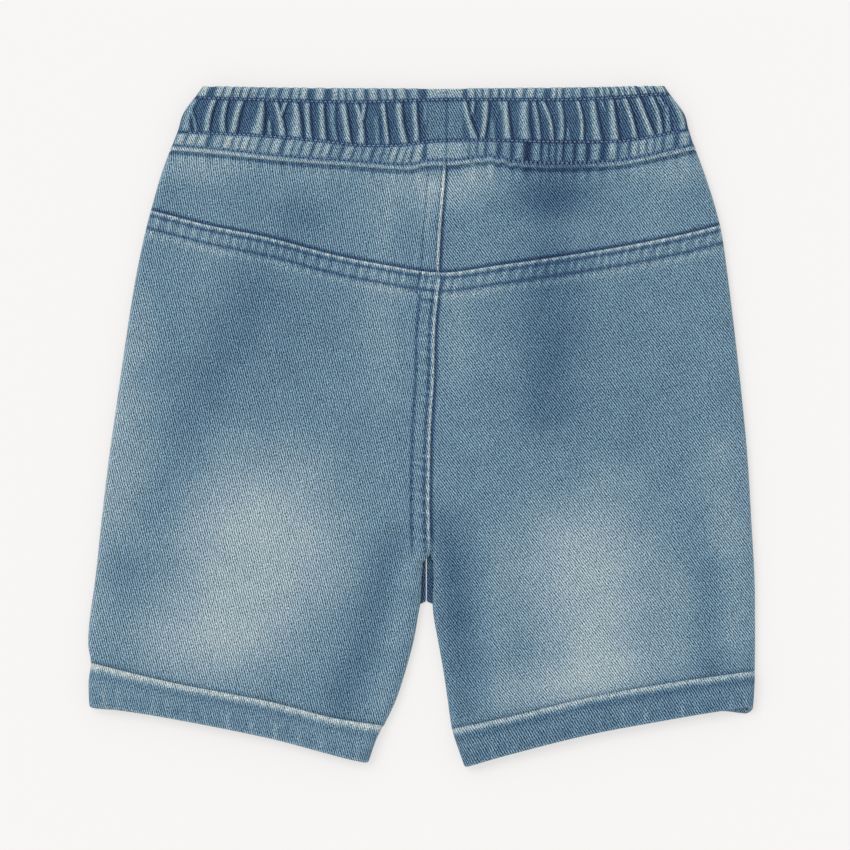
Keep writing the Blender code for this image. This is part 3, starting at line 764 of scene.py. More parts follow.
# The short hook of stitches that locks the middle seam under the yokes.
HOOK = [Mark(*row) for row in (
    (-0.4, 221.4),
    (-1.4, 217.0),
    (-2.2, 213.4),
    (-1.0, 210.6),
    (1.4, 209.9),
    (4.6, 209.6),
)]


def yoke_seam_up(across):
    return read_curve(YOKE_SEAM, across)


def back_middle(side, up):
    """The inner edge of a back piece: the inseam, then the seam up the middle."""
    seam = centre_across(up) + side * SEAM_GAP / 2
    return mix(inseam_across(side, up), seam, ease((up - CROTCH_UP) / CROTCH_CURVE))


def stroke_sum(strokes, across, up):
    """Sum of the soft strokes at each place."""
    total = 0.0 * across
    for stroke in strokes:
        run_across = stroke.across_b - stroke.across_a
        run_up = stroke.up_b - stroke.up_a
        length = math.hypot(run_across, run_up)
        run_across, run_up = run_across / length, run_up / length
        offset_across, offset_up = across - stroke.across_a, up - stroke.up_a
        run = offset_across * run_across + offset_up * run_up
        away = offset_across * run_up - offset_up * run_across
        ends = ease(0.5 + run / FOLD_END) * ease(0.5 + (length - run) / FOLD_END)
        total += stroke.rise * ends * bell(away, stroke.width)
    return total


def sanding_and_fold_shade(across, up):
    """How much paler the cloth is where it was sanded, with painted shade and light along the
    folds.
    """
    total = stroke_sum(WASH_AND_FOLD_SHADE_STROKES, across, up)
    for patch in PATCHES:
        angle = math.radians(patch.tilt)
        over, rise = across - patch.across, up - patch.up
        a = (over * math.cos(angle) + rise * math.sin(angle)) / patch.half_width
        b = (rise * math.cos(angle) - over * math.sin(angle)) / patch.half_height
        total += patch.pale * np.exp(-(a * a + b * b) ** 1.25)
    return total


def roping(along, away=0.0):
    """The uneven puckers of a sewn seam, from -1 to 1."""
    long_pitch, short_pitch = PUCKER_PITCHES
    long_turn = 2 * math.pi * (along / long_pitch + 0.5 * np.sin(along / 12.0)) + 0.8 * away
    short_turn = 2 * math.pi * along / short_pitch + 2.0 * np.sin(along / 21.0)
    return 0.6 * np.sin(long_turn) + 0.4 * np.sin(short_turn)


def lap(away, width):
    """The section of a felled seam, from 0 to 1, at a distance in from its fold."""
    return ease(away / SEAM_FOLD + 0.15) * (1 - ease((away - width) / 1.2))


def stitch_dents(away):
    return sum(bell(away - row, 0.85) for row in SEAM_ROWS)


def thin_lip(inside):
    """1 on the upper cloth's lip over the lower cloth, 0 further in."""
    return 1 - ease((inside - LAP_REACH) / LAP_FADE)


def seam_wall(rise, lip):
    """The upper cloth's wall: it reaches down through its seam's rise, but for the lip."""
    return mix(CLOTH + rise, np.maximum(rise - LIP_GAP, LEAST_LIP), lip)


def pressed_down(inside):
    """How far the right piece's edge sinks where the left one laps it."""
    return LOWER_SINK * (1 - ease((inside + 0.2) / 0.8))


def worn_fold(away, along, level, swing):
    """Wear along the fold of a seam, uneven like its puckers."""
    return bell(away, FOLD_WEAR_WIDTH) * (level + swing * roping(along))


def near_line(marks, across, up):
    """Distance from each place to a line through a few marks."""
    nearest = np.full_like(across, 1e3)
    for a, b in zip(marks, marks[1:]):
        run_across, run_up = b.across - a.across, b.up - a.up
        share = ((across - a.across) * run_across + (up - a.up) * run_up)
        share = np.clip(share / (run_across ** 2 + run_up ** 2), 0.0, 1.0)
        away = np.hypot(across - a.across - share * run_across, up - a.up - share * run_up)
        nearest = np.minimum(nearest, away)
    return nearest


def base_height(across, up):
    return read_curve(CROWN, up) + stroke_sum(FOLDS, across, up)


def back_surface(side, across, up):
    """Outer height, wall and marks of a back panel, away from its rolled edges."""
    below = yoke_seam_up(across) - up
    inside = side * (across - centre_across(up))
    above_crotch = ease((up - CROTCH_UP) / CROTCH_FADE)
    yoke_lap = lap(below, YOKE_SEAM_WIDTH)
    centre_lap = lap(inside, CENTRE_SEAM_WIDTH) * above_crotch * (side < 0)
    on_yoke_seam = bell(below - 4.5, 5.5)
    on_centre_seam = bell(inside - 3.5, 4.5) * above_crotch * (side < 0)
    across_seam, up_seam = roping(across, below / 2), roping(up, -inside / 2)
    puckers = (on_yoke_seam * across_seam * YOKE_PUCKERS
               + on_centre_seam * up_seam * CENTRE_PUCKERS)
    dents = yoke_lap * stitch_dents(below)
    if side < 0:
        dents = dents + centre_lap * stitch_dents(inside) * ease((DENTS_TOP - up) / 6.0)
        dents = dents + bell(near_line(HOOK, across, up), 0.6)
    dents = np.minimum(dents, 1.0)
    rise = SEAM_RISE * np.maximum(yoke_lap, centre_lap)
    height = base_height(across, up) + rise + puckers - STITCH_DENT * dents
    wall = seam_wall(rise, thin_lip(np.minimum(below, inside) if side < 0 else below))
    edge = worn_fold(below - 0.5, across, *BACK_FOLD_WEAR)
    groove = 0.0 * across
    if side < 0:
        centre_edge = worn_fold(inside - 0.6, up, *CENTRE_FOLD_WEAR) * above_crotch
        edge = np.maximum(edge, centre_edge * ease((below - 1.0) / 3.0))
    else:
        height = height - pressed_down(inside)
        wall = np.where(inside < 0.5, np.minimum(wall, LOWER_WALL), wall)
        # A painted shadow in the groove where the left piece laps this one.
        groove = bell(inside - 0.5, 0.8) * above_crotch
    wear_and_highlight = np.clip(edge, 0, 1.0) + PUCKER_WEAR[0] * on_yoke_seam * np.maximum(across_seam, 0)
    wear_and_highlight = wear_and_highlight + PUCKER_WEAR[1] * on_centre_seam * np.maximum(up_seam, 0)
    # A pale line just below the lower edge of the yokes' seam.
    wear_and_highlight = wear_and_highlight + PALE_LINE_STRENGTH * bell(below - PALE_LINE_BELOW_SEAM, 1.6) * (1.0 + 0.5 * across_seam)
    ink_and_shade = np.maximum(STITCH_INK * dents * (0.8 + 0.2 * roping(across + up)), GROOVE_SHADOW * groove)
    ink_and_shade = ink_and_shade + PUCKER_INK[0] * on_yoke_seam * np.maximum(-across_seam, 0)
    ink_and_shade = ink_and_shade + PUCKER_INK[1] * on_centre_seam * np.maximum(-up_seam, 0)
    # The sanded paleness carries the painted shade and light along the folds too.
    marks = {"fade": sanding_and_fold_shade(across, up), "wear_and_highlight": wear_and_highlight, "ink_and_shade": ink_and_shade}
    return height, wall, marks


def make_back(name, side):
    edges = panel_edges(lambda up: side_across(side, up),
                        lambda up: back_middle(side, up),
                        lambda across: cuff_top_up(side, across) + LOOP_GAP,
                        lambda across: yoke_seam_up(across) - SEAM_GAP / 2)
    columns = rolled_edge(0.0, 1) + spread_stations(BACK_COLUMNS, 0.035, 0.905)
    columns += [(1.0, -inset, 0.0) for inset in np.arange(CLOSE_REACH, EDGE_ROLL, -CLOSE_STEP)]
    columns = np.array(columns + rolled_edge(1.0, -1)[::-1])
    rows = [(0.0, -CUFF_TUCK, 0.0), (0.0, -1.3, 0.0), (0.0, -0.6, 0.0), (0.0, 0.0, 0.0)]
    rows += spread_stations(BACK_ROWS, 0.003, 0.945)
    rows += crotch_stations(edges, CROTCH_UP, CROTCH_CURVE, 12)
    rows += [(1.0, -inset, 0.0) for inset in np.arange(CLOSE_REACH, -0.1, -CLOSE_STEP)]
    rows = np.array(sorted(rows))
    across, up = patch_grid(edges, columns, rows)
    under_cuff = ease((cuff_top_up(side, across) - up + 0.4) / 1.5)
    across = mix(across, across.mean(axis=1, keepdims=True), 0.03 * under_cuff)
    above_crotch = ease((up - CROTCH_UP) / CROTCH_FADE)
    if side > 0:
        to_edge = np.where(columns[:, 0] == 1.0, -columns[:, 1], SEAM_TUCK)
        across = across - SEAM_TUCK * above_crotch * np.clip(1 - to_edge / 0.1, 0.0, 1.0)
    height, wall, marks = back_surface(side, across, up)
    height = height - 0.6 * under_cuff
    sink = np.where(columns[:, 0] == 1.0, columns[:, 2] * (1 - above_crotch), columns[:, 2])
    height = mix(height, SIDE_HEIGHT + SEAM_GAP / 4, sink)
    marks["wear_and_highlight"] = marks["wear_and_highlight"] + 0.25 * sink
    # Painted shade where the leg runs under its cuff, and a painted shadow along the cuff's top
    # edge.
    marks["ink_and_shade"] = marks["ink_and_shade"] + 0.5 * under_cuff * (1 - sink)
    shadow = bell(up - cuff_top_up(side, across) - 0.6, 1.1)
    marks["ink_and_shade"] = marks["ink_and_shade"] + 0.22 * shadow
    panel = cloth_wall(name + "_cloth", across, up, height, wall, 1, marks,
                       denim(name + "_denim", BACK_SHADE, LEG_RIBS[side]))
    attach(panel, "root")
    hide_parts(name)
    return panel


for label, hand in (("left", -1), ("right", 1)):
    panel = make_back("back_" + label, hand)

# The rows of stitches. A stitch is a short tight bead of indigo thread, and the
# rows are laid along lines on the cloth by Geometry Nodes.
THREAD_COLOUR = (60, 80, 120)
PALE_THREAD_COLOUR = (122, 145, 176)
THREAD_DARK, THREAD_LIGHT = 0.62, 1.5  # its shade swings between these shares of its colour
THREAD_LIFT = 0.05              # middle of a thread above the cloth's face
SEAMS_MEET = 8.5                # where the middle seam meets the yokes' seams
SIDE_AT_SEAM = 128.0            # where these reach the sides
YOKE_ROW_START = {-1: 9.5, 1: 0.5}  # from the middle seam to the first stitch
YOKE_ROW_END = 3.0              # from the last stitch to the side
YOKE_ROW_POINTS = 240
CENTRE_ROW = (CROTCH_UP + 6.0, 212.0)  # from the first stitch above the crotch to the last
CENTRE_ROW_POINTS = 200


def thread(name, colour):
    """Twisted cotton thread, a little uneven in colour."""
    material = bpy.data.materials.new(name)
    material.use_nodes = True
    tree = material.node_tree
    shader = tree.nodes["Principled BSDF"]
    place = put(tree, "ShaderNodeTexCoord").outputs["Object"]
    uneven = noise(tree, place, 900.0)
    strands = fill(tree, put(tree, "ShaderNodeTexWave", bands_direction="DIAGONAL"),
                   {"Vector": place, "Scale": 1400.0})
    dark = np.array(linear(colour)) * THREAD_DARK
    tint = fill(tree, put(tree, "ShaderNodeMix", data_type="RGBA"), {
        "Factor": uneven, "A": (*dark[:3], 1.0),
        "B": tuple(min(THREAD_LIGHT * part, 1.0) for part in linear(colour))})
    relief = fill(tree, put(tree, "ShaderNodeBump"), {
        "Strength": 0.6, "Distance": 0.0001, "Height": strands.outputs["Fac"]})
    fill(tree, shader, {"Base Color": tint.outputs["Result"], "Normal": relief.outputs[0],
                        "Roughness": 0.7})
    return material


def stitch_nodes():
    """Geometry Nodes that lay stitches along the edges of a mesh."""
    tree = bpy.data.node_groups.new("rows_of_stitches", "GeometryNodeTree")
    sockets = {}
    for label, kind, value in (("Line", "Geometry", None), ("Pitch", "Float", 0.0026),
                               ("Stitch Length", "Float", 0.002), ("Thickness", "Float", 0.0005),
                               ("Unevenness", "Float", 0.15), ("Seed", "Int", 1),
                               ("Thread", "Material", None)):
        socket = tree.interface.new_socket(label, in_out="INPUT", socket_type="NodeSocket" + kind)
        if value is not None:
            socket.default_value = value
        sockets[label] = socket.identifier
    tree.interface.new_socket("Stitches", in_out="OUTPUT", socket_type="NodeSocketGeometry")
    given = tree.nodes.new("NodeGroupInput").outputs
    result = tree.nodes.new("NodeGroupOutput").inputs
    line = put(tree, "GeometryNodeMeshToCurve", given["Line"])
    spaced = fill(tree, put(tree, "GeometryNodeResampleCurve", mode="LENGTH"),
                  {"Curve": line.outputs[0], "Length": given["Pitch"]})
    turned = fill(tree, put(tree, "FunctionNodeAlignRotationToVector", axis="X"),
                  {"Vector": put(tree, "GeometryNodeInputTangent").outputs[0]})
    chance = put(tree, "FunctionNodeRandomValue", data_type="FLOAT")
    floats = [socket for socket in chance.inputs if socket.type == "VALUE"]
    tree.links.new(work_out(tree, "SUBTRACT", 1.0, given["Unevenness"]), floats[0])
    tree.links.new(work_out(tree, "ADD", 1.0, given["Unevenness"]), floats[1])
    tree.links.new(given["Seed"], chance.inputs["Seed"])
    uneven = next(socket for socket in chance.outputs if socket.type == "VALUE")
    size = put(tree, "ShaderNodeCombineXYZ",
               work_out(tree, "MULTIPLY", given["Stitch Length"], uneven),
               given["Thickness"], given["Thickness"])
    bead = put(tree, "GeometryNodeMeshUVSphere", 7, 6, 0.5)
    laid = fill(tree, put(tree, "GeometryNodeInstanceOnPoints"), {
        "Points": spaced.outputs[0], "Instance": bead.outputs[0],
        "Rotation": turned.outputs[0], "Scale": size.outputs[0]})
    real = put(tree, "GeometryNodeRealizeInstances", laid.outputs[0])
    soft = put(tree, "GeometryNodeSetShadeSmooth", real.outputs[0])
    threaded = fill(tree, put(tree, "GeometryNodeSetMaterial", soft.outputs[0]),
                    {"Material": given["Thread"]})
    tree.links.new(threaded.outputs[0], result["Stitches"])
    return tree, sockets


stitch_tree, stitch_sockets = stitch_nodes()


def sew(name, lines, material, length=2.0, thickness=0.5, pitch=STITCH_PITCH, seed=1):
    """One piece of thread: rows of stitches along lines of (across, up, height) points."""
    points, edges = [], []
    for line in lines:
        first = len(points)
        points += [((a * MM), (b - LENGTH / 2) * MM, (c + THREAD_LIFT) * MM) for a, b, c in line]
        edges += [(k, k + 1) for k in range(first, len(points) - 1)]
    mesh = bpy.data.meshes.new(name + "_lines")
    mesh.from_pydata(points, edges, [])
    guide = bpy.data.objects.new(name + "_lines", mesh)
    bpy.context.scene.collection.objects.link(guide)
    modifier = guide.modifiers.new("stitches", "NODES")
    modifier.node_group = stitch_tree
    for label, value in (("Pitch", pitch * MM), ("Stitch Length", length * MM),
                         ("Thickness", thickness * MM), ("Seed", seed), ("Thread", material)):
        modifier[stitch_sockets[label]] = value
    seen = guide.evaluated_get(bpy.context.evaluated_depsgraph_get())
    stitches = bpy.data.objects.new(name, bpy.data.meshes.new_from_object(seen))
    bpy.context.scene.collection.objects.link(stitches)
    bpy.data.objects.remove(guide)
    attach(stitches, "root")
    return stitches


def row_on_back(side, across, up):
    """A line of points on the face of a back panel."""
    return list(zip(across, up, back_surface(side, across, up)[0]))


indigo_thread = thread("indigo_thread", THREAD_COLOUR)
pale_thread = thread("washed_thread", PALE_THREAD_COLOUR)


def sew_yoke_seam():
    lines = []
    for inset in SEAM_ROWS:
        for side in (-1, 1):
            inner = centre_across(yoke_seam_up(SEAMS_MEET) - inset)
            outer = side_across(side, yoke_seam_up(side * SIDE_AT_SEAM) - inset)
            across = np.linspace(inner + side * YOKE_ROW_START[side],
                                 outer - side * YOKE_ROW_END, YOKE_ROW_POINTS)
            lines.append(row_on_back(side, across, yoke_seam_up(across) - inset))
    sew("yoke_seam_stitches", lines, indigo_thread, seed=3)


def sew_centre_seam():
    lines = []
    for inset in SEAM_ROWS:
        up = np.linspace(*CENTRE_ROW, CENTRE_ROW_POINTS)
        lines.append(row_on_back(-1, centre_across(up) - inset, up))
    hook = np.concatenate([np.linspace(a, b, 6)[:-1] for a, b in zip(HOOK, HOOK[1:])])
    lines.append(row_on_back(-1, hook[:, 0], hook[:, 1]))
    sew("centre_seam_stitches", lines, indigo_thread, seed=5)


sew_yoke_seam()
sew_centre_seam()

# ---------------------------------------------------------------------------
# Yokes. Two shaped pieces of the same twill that join the leg panels to the
# waistband, which gathers their tops. The left one laps the right one.
# ---------------------------------------------------------------------------

YOKE_SHADE = 0.50
YOKE_COLUMNS = 210
YOKE_CLOSE_COLUMNS = 10.0
YOKE_ROWS = 64
BAND_TUCK = 1.8
YOKE_RIBS = {-1: 79, 1: 53}     # angle of the twill on the left and the right yoke
YOKE_SEAM_ROWS = (2.0, 8.1)     # rows of stitches beside the middle seam
YOKE_STITCH_DENT = 0.12
YOKE_STITCHES_DROP = 0.12
YOKE_STITCHES_UP = (226.0, 266.0)
YOKE_FOLD_WEAR = (0.85, 0.2)
GATHER_REACH = 11.0             # how far the waistband's gathers run down the yokes
GATHER_RISE, GATHER_SINK = 0.6, 0.25
# wear with a painted highlight on the gathers' crests, and dye with painted shade in their hollows
GATHER_WEAR_AND_HIGHLIGHT, GATHER_INK_AND_SHADE = 0.22, 0.18
YOKE_TOP_DROP = 0.9             # how far the yokes' tops sink under the waistband

RIDGE_LEFT, RIDGE_RIGHT = 1.15, 0.75  # reach of a gather's soft and its steep side

# Ridges of the gathered cloth at the waistband's lower edge.
LOWER_RIDGES = (
    -107.5, -102.5, -98.0, -90.9, -86.4, -82.3, -78.7, -74.7, -69.3, -64.8, -59.0, -55.4, -50.9,
    -46.0, -42.4, -37.9, -32.5, -28.0, -24.0, -19.1, -15.5, -12.3, -8.7, -5.6, -1.1, 20.0,
    23.6, 27.1, 32.1, 38.4, 44.2, 51.8, 55.9, 59.0, 62.1, 66.6, 72.0, 78.3, 85.9, 91.3,
    95.8, 99.4, 103.0, 106.6, 111.5, 118.2,
)

# Two short ridges under the waistband, beside the top of the middle seam.
SHORT_CREASES = (23.1, 30.7)
SHORT_CREASE_UP = (258.0, 273.0)
SHORT_CREASE_WIDTH = 1.6
SHORT_CREASE_RISE = 0.7


def ridge(away, width, fullness):
    """The section of a gather, softer on its left: 1 on its crest, 0 in the hollows."""
    reach = np.where(away < 0, RIDGE_LEFT, RIDGE_RIGHT) * width
    return np.exp(-np.abs(away / reach) ** fullness)


def close_ridges(across, places, fill=0.52):
    """Crests of tightly gathered cloth: fill is a crest's share of the way to the next."""
    crest = 0.0 * across
    for index, place in enumerate(places):
        beside = places[max(index - 1, 0):index] + places[index + 1:index + 2]
        width = min(fill * min(abs(place - other) for other in beside), 2.3)
        rise = 0.82 + 0.18 * math.sin(5.0 * place)
        crest = np.maximum(crest, rise * ridge(across - place, width, 3.2))
    return crest


def short_creases(across, up):
    foot, top = SHORT_CREASE_UP
    rise = SHORT_CREASE_RISE * (ease((top - up) / 3.0) * ease((up - foot) / 8.0))
    return sum(rise * bell(across - place, SHORT_CREASE_WIDTH) for place in SHORT_CREASES)


def yoke_surface(side, across, up):
    """Outer height, wall and marks of a yoke, away from its rolled side."""
    below_band = band_foot_up(across) - up
    above_seam = up - yoke_seam_up(across)
    inside = side * (across - centre_across(up))
    tucked = 1 - ease((above_seam + 0.3) / 0.8)
    seam = lap(inside, CENTRE_SEAM_WIDTH) * (1 - tucked) if side < 0 else 0.0 * across
    crests = close_ridges(across, LOWER_RIDGES)
    gathered = 1 - ease(below_band / GATHER_REACH)
    gathers = crests * gathered
    creases = short_creases(across, up)
    under_band = ease((0.5 - below_band) / 1.6)
    dents = sum(bell(inside - row, 0.5) for row in YOKE_SEAM_ROWS) * (0.5 if side < 0 else 0.0)
    rise = SEAM_RISE * seam
    height = base_height(across, up) + rise - YOKE_STITCH_DENT * dents + 0.9 * creases
    height = height + (GATHER_RISE * gathers - GATHER_SINK * gathered) * (1 - under_band)
    height = height - YOKE_TOP_DROP * under_band - 0.06 * tucked
    wall = seam_wall(rise, thin_lip(inside) * (1 - tucked) * (side < 0))
    groove = 0.0 * across
    edge = 0.0 * across
    if side < 0:
        edge = worn_fold(inside - 0.8, up, *YOKE_FOLD_WEAR)
    else:
        height = height - pressed_down(inside)
        wall = np.where(inside < 0.5, LOWER_WALL, wall)
        # A painted shadow in the groove where the left yoke laps this one.
        groove = 0.9 * bell(inside - 0.3, 0.8)
    fading = 1 - ease(below_band / 22.0)
    # Wear along the seam's fold, and wear with a painted highlight on the gathers and short
    # creases.
    wear_and_highlight = edge + GATHER_WEAR_AND_HIGHLIGHT * gathers + 0.4 * creases + 0.08 * fading
    # Dye and painted shade where the yoke goes under the leg panel's seam and in the gathers'
    # hollows, and a painted shadow under the waistband's lip.
    ink_and_shade = np.maximum(0.8 * bell(above_seam - 0.4, 0.9), groove)
    ink_and_shade = np.maximum(ink_and_shade, 0.75 * bell(below_band - 0.9, 0.8))
    ink_and_shade = ink_and_shade + 0.7 * dents + GATHER_INK_AND_SHADE * (1 - ease(below_band / 9.0)) * (1 - crests)
    marks = {"fade": sanding_and_fold_shade(across, up), "wear_and_highlight": wear_and_highlight, "ink_and_shade": ink_and_shade}
    return height, wall, marks


def make_yoke(name, side):
    edges = panel_edges(lambda up: side_across(side, up),
                        lambda up: centre_across(up) + side * SEAM_GAP / 2,
                        lambda across: yoke_seam_up(across) + SEAM_GAP / 2,
                        lambda across: band_foot_up(across) - LOOP_GAP)
    columns = rolled_edge(0.0, 1) + spread_stations(YOKE_COLUMNS, 0.04, 0.91)
    columns += [(1.0, -inset, 0.0) for inset in np.arange(YOKE_CLOSE_COLUMNS, -0.1, -CLOSE_STEP)]
    if side > 0:
        columns += [(1.0, SEAM_TUCK / 2, 0.0), (1.0, SEAM_TUCK, 0.0)]
    rows = [(0.0, -SEAM_TUCK, 0.0), (0.0, -SEAM_TUCK / 2, 0.0), (0.0, 0.0, 0.0),
            (0.0, 0.4, 0.0), (0.0, 0.8, 0.0), (0.0, 1.3, 0.0)]
    rows += spread_stations(YOKE_ROWS, 0.04, 0.96)
    rows += [(1.0, inset, 0.0) for inset in (-1.2, -0.6, 0.0, 0.6, 1.2, BAND_TUCK)]
    across, up = patch_grid(edges, np.array(columns), np.array(rows))
    under_band = ease((0.5 - band_foot_up(across) + up) / 1.6)
    across = mix(across, centre_across(up), 0.018 * under_band)
    height, wall, marks = yoke_surface(side, across, up)
    sink = np.array(columns)[:, 2] + 0.0 * across
    height = mix(height, SIDE_HEIGHT + SEAM_GAP / 4, sink)
    marks["wear_and_highlight"] = marks["wear_and_highlight"] + 0.25 * sink
    panel = cloth_wall(name + "_cloth", across, up, height, wall, 1, marks,
                       denim(name + "_denim", YOKE_SHADE, YOKE_RIBS[side]))
    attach(panel, "root")
    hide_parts(name)
    return panel


for label, hand in (("left", -1), ("right", 1)):
    panel = make_yoke("yoke_" + label, hand)


def sew_yoke_middle():
    lines = []
    up = np.linspace(*YOKE_STITCHES_UP, 90)
    for inset in YOKE_SEAM_ROWS:
        across = centre_across(up) - inset
        height = yoke_surface(-1, across, up)[0] - YOKE_STITCHES_DROP
        lines.append(list(zip(across, up, height)))
    sew("yoke_middle_stitches", lines, indigo_thread, thickness=0.4, seed=8)


sew_yoke_middle()

# ---------------------------------------------------------------------------
# Cuffs. The end of each leg is turned up twice, right side out, and pressed:
# a band of darker, less faded denim with a fold worn pale along its top.
# ---------------------------------------------------------------------------

CUFF_WALL = 2.4
CUFF_HEIGHT = 6.9
CUFF_LIP = 1.2                  # wall of the turn-up at its top edge
CUFF_LAP = 0.6                  # how far the turn-up covers the end of the leg panel
LOOP_ROLL = 3.6                 # how far the rounded sides of cuffs and waistband reach in
CUFF_FOLD_SHARE = 0.5
CUFF_FOLD_LIFT = 12.0
CUFF_COLUMNS = 130
CUFF_UNDER_COLUMNS = 44
CUFF_SHADE = {-1: 0.51, 1: 0.45}
CUFF_RIBS = {-1: 73.0, 1: 60.0}  # angle of the twill on each cuff
CUFF_FOLD_WEAR = {-1: 0.115, 1: 0.09}  # width of its worn fold, as a share of its height
CUFF_FADE = {-1: 0.03, 1: 0.0}  # how much paler it is near its outer corner
CUFF_FADE_REACH = 26.0
HEM_SPOTS = 0.35                # wear on the puckers along the hem
UNDER_HEM_DROP = {-1: 0.8, 1: 3.4}
UNDER_HEM_REACH = 16.0

LEFT_HEM = [Mark(*row) for row in (
    (-147.0, 27.2),
    (-118.0, 22.9),
    (-68.0, 13.0),
    (-34.0, 4.0),
    (-22.5, 1.6),
)]
RIGHT_HEM = [Mark(*row) for row in (
    (19.5, 0.0),
    (39.0, 5.6),
    (74.0, 14.4),
    (110.0, 21.2),
    (147.0, 27.4),
)]

# A cuff's wall, from its top edge down outside, round the hem and up inside:
# shares of its height and depths into its wall.
CUFF_SECTION = (
    [(1.0, 0.75), (0.997, 0.35), (0.985, 0.12)]
    + [(share, 0.0) for share in np.linspace(0.96, 0.06, 34)]
    + [(0.035, 0.12), (0.012, 0.5), (0.0, 1.1), (0.008, 1.8), (0.03, CUFF_WALL)]
    + [(0.3, CUFF_WALL), (0.6, CUFF_WALL), (0.85, 2.0), (0.97, CUFF_LIP)]
)


def hem_up(side, across):
    return read_curve(LEFT_HEM if side < 0 else RIGHT_HEM, across)


def loop_stops(over, under):
    """Stops on the way round a flattened loop, from the middle of its underside:
    the face, the share of the way over that face and, on a rounded side, the
    angle above the middle."""
    round_side = np.radians(np.linspace(78, -78, 14))
    half = len(under) // 2
    stops = [("under", share, 0.0) for share in under[half:]]
    stops += [("before", 0.0, angle) for angle in round_side[::-1]]
    stops += [("over", share, 0.0) for share in over]
    stops += [("after", 0.0, angle) for angle in round_side]
    stops += [("under", share, 0.0) for share in under[:half]]
    return stops


def cloth_ring(name, points, weave, marks, material):
    """A closed wall of cloth that goes all the way round: a grid of stops and rows."""
    stops, rows = points.shape[:2]
    faces = grid_faces(stops, rows, wrap=True)
    stop, row = np.meshgrid(np.arange(stops), np.arange(rows), indexing="ij")
    corners = [weave[stop + a, row + b] for a, b in ((0, 0), (0, 1), (1, 1), (1, 0))]
    weave = np.stack([corner.reshape(-1, 2) for corner in corners], axis=1)
    marks = {label: values.ravel() for label, values in marks.items()}
    return make_cloth(name, points.reshape(-1, 3), faces, weave, marks, material)


def ring_run(points, axis, turning):
    """Distance run along one axis of a closed grid, which ends where it began. The
    steps of one line across it are stretched alike, so ridges don't shear the twill."""
    step = np.roll(points, -1, axis=axis) - points
    full, plan = np.linalg.norm(step, axis=-1), np.abs(step[..., axis])
    stretch = (np.median(full, axis=1 - axis, keepdims=True)
               / np.median(plan, axis=1 - axis, keepdims=True))
    run = np.cumsum(np.where(turning, full, plan * stretch), axis=axis)
    start = np.zeros_like(np.take(run, [0], axis=axis))
    run = np.concatenate([start, run], axis=axis)
    return np.concatenate([run, np.take(run, [0], axis=1 - axis)], axis=1 - axis)


def ring_weave(points, stops, onward, upward):
    """Where the points of a ring are on its flat cloth: along each row from the
    middle of its face, and up each stop from the first row."""
    turning = np.array([face in ("before", "after") for face, _, _ in stops])[:, None]
    around = ring_run(points, 0, turning)
    middle = len(stops) // 2
    middle_across = np.append(points[middle, :, 0], points[middle, 0, 0])
    around = (around - around[middle]) * onward + middle_across
    return np.stack([around, ring_run(points, 1, False) * upward], axis=-1)


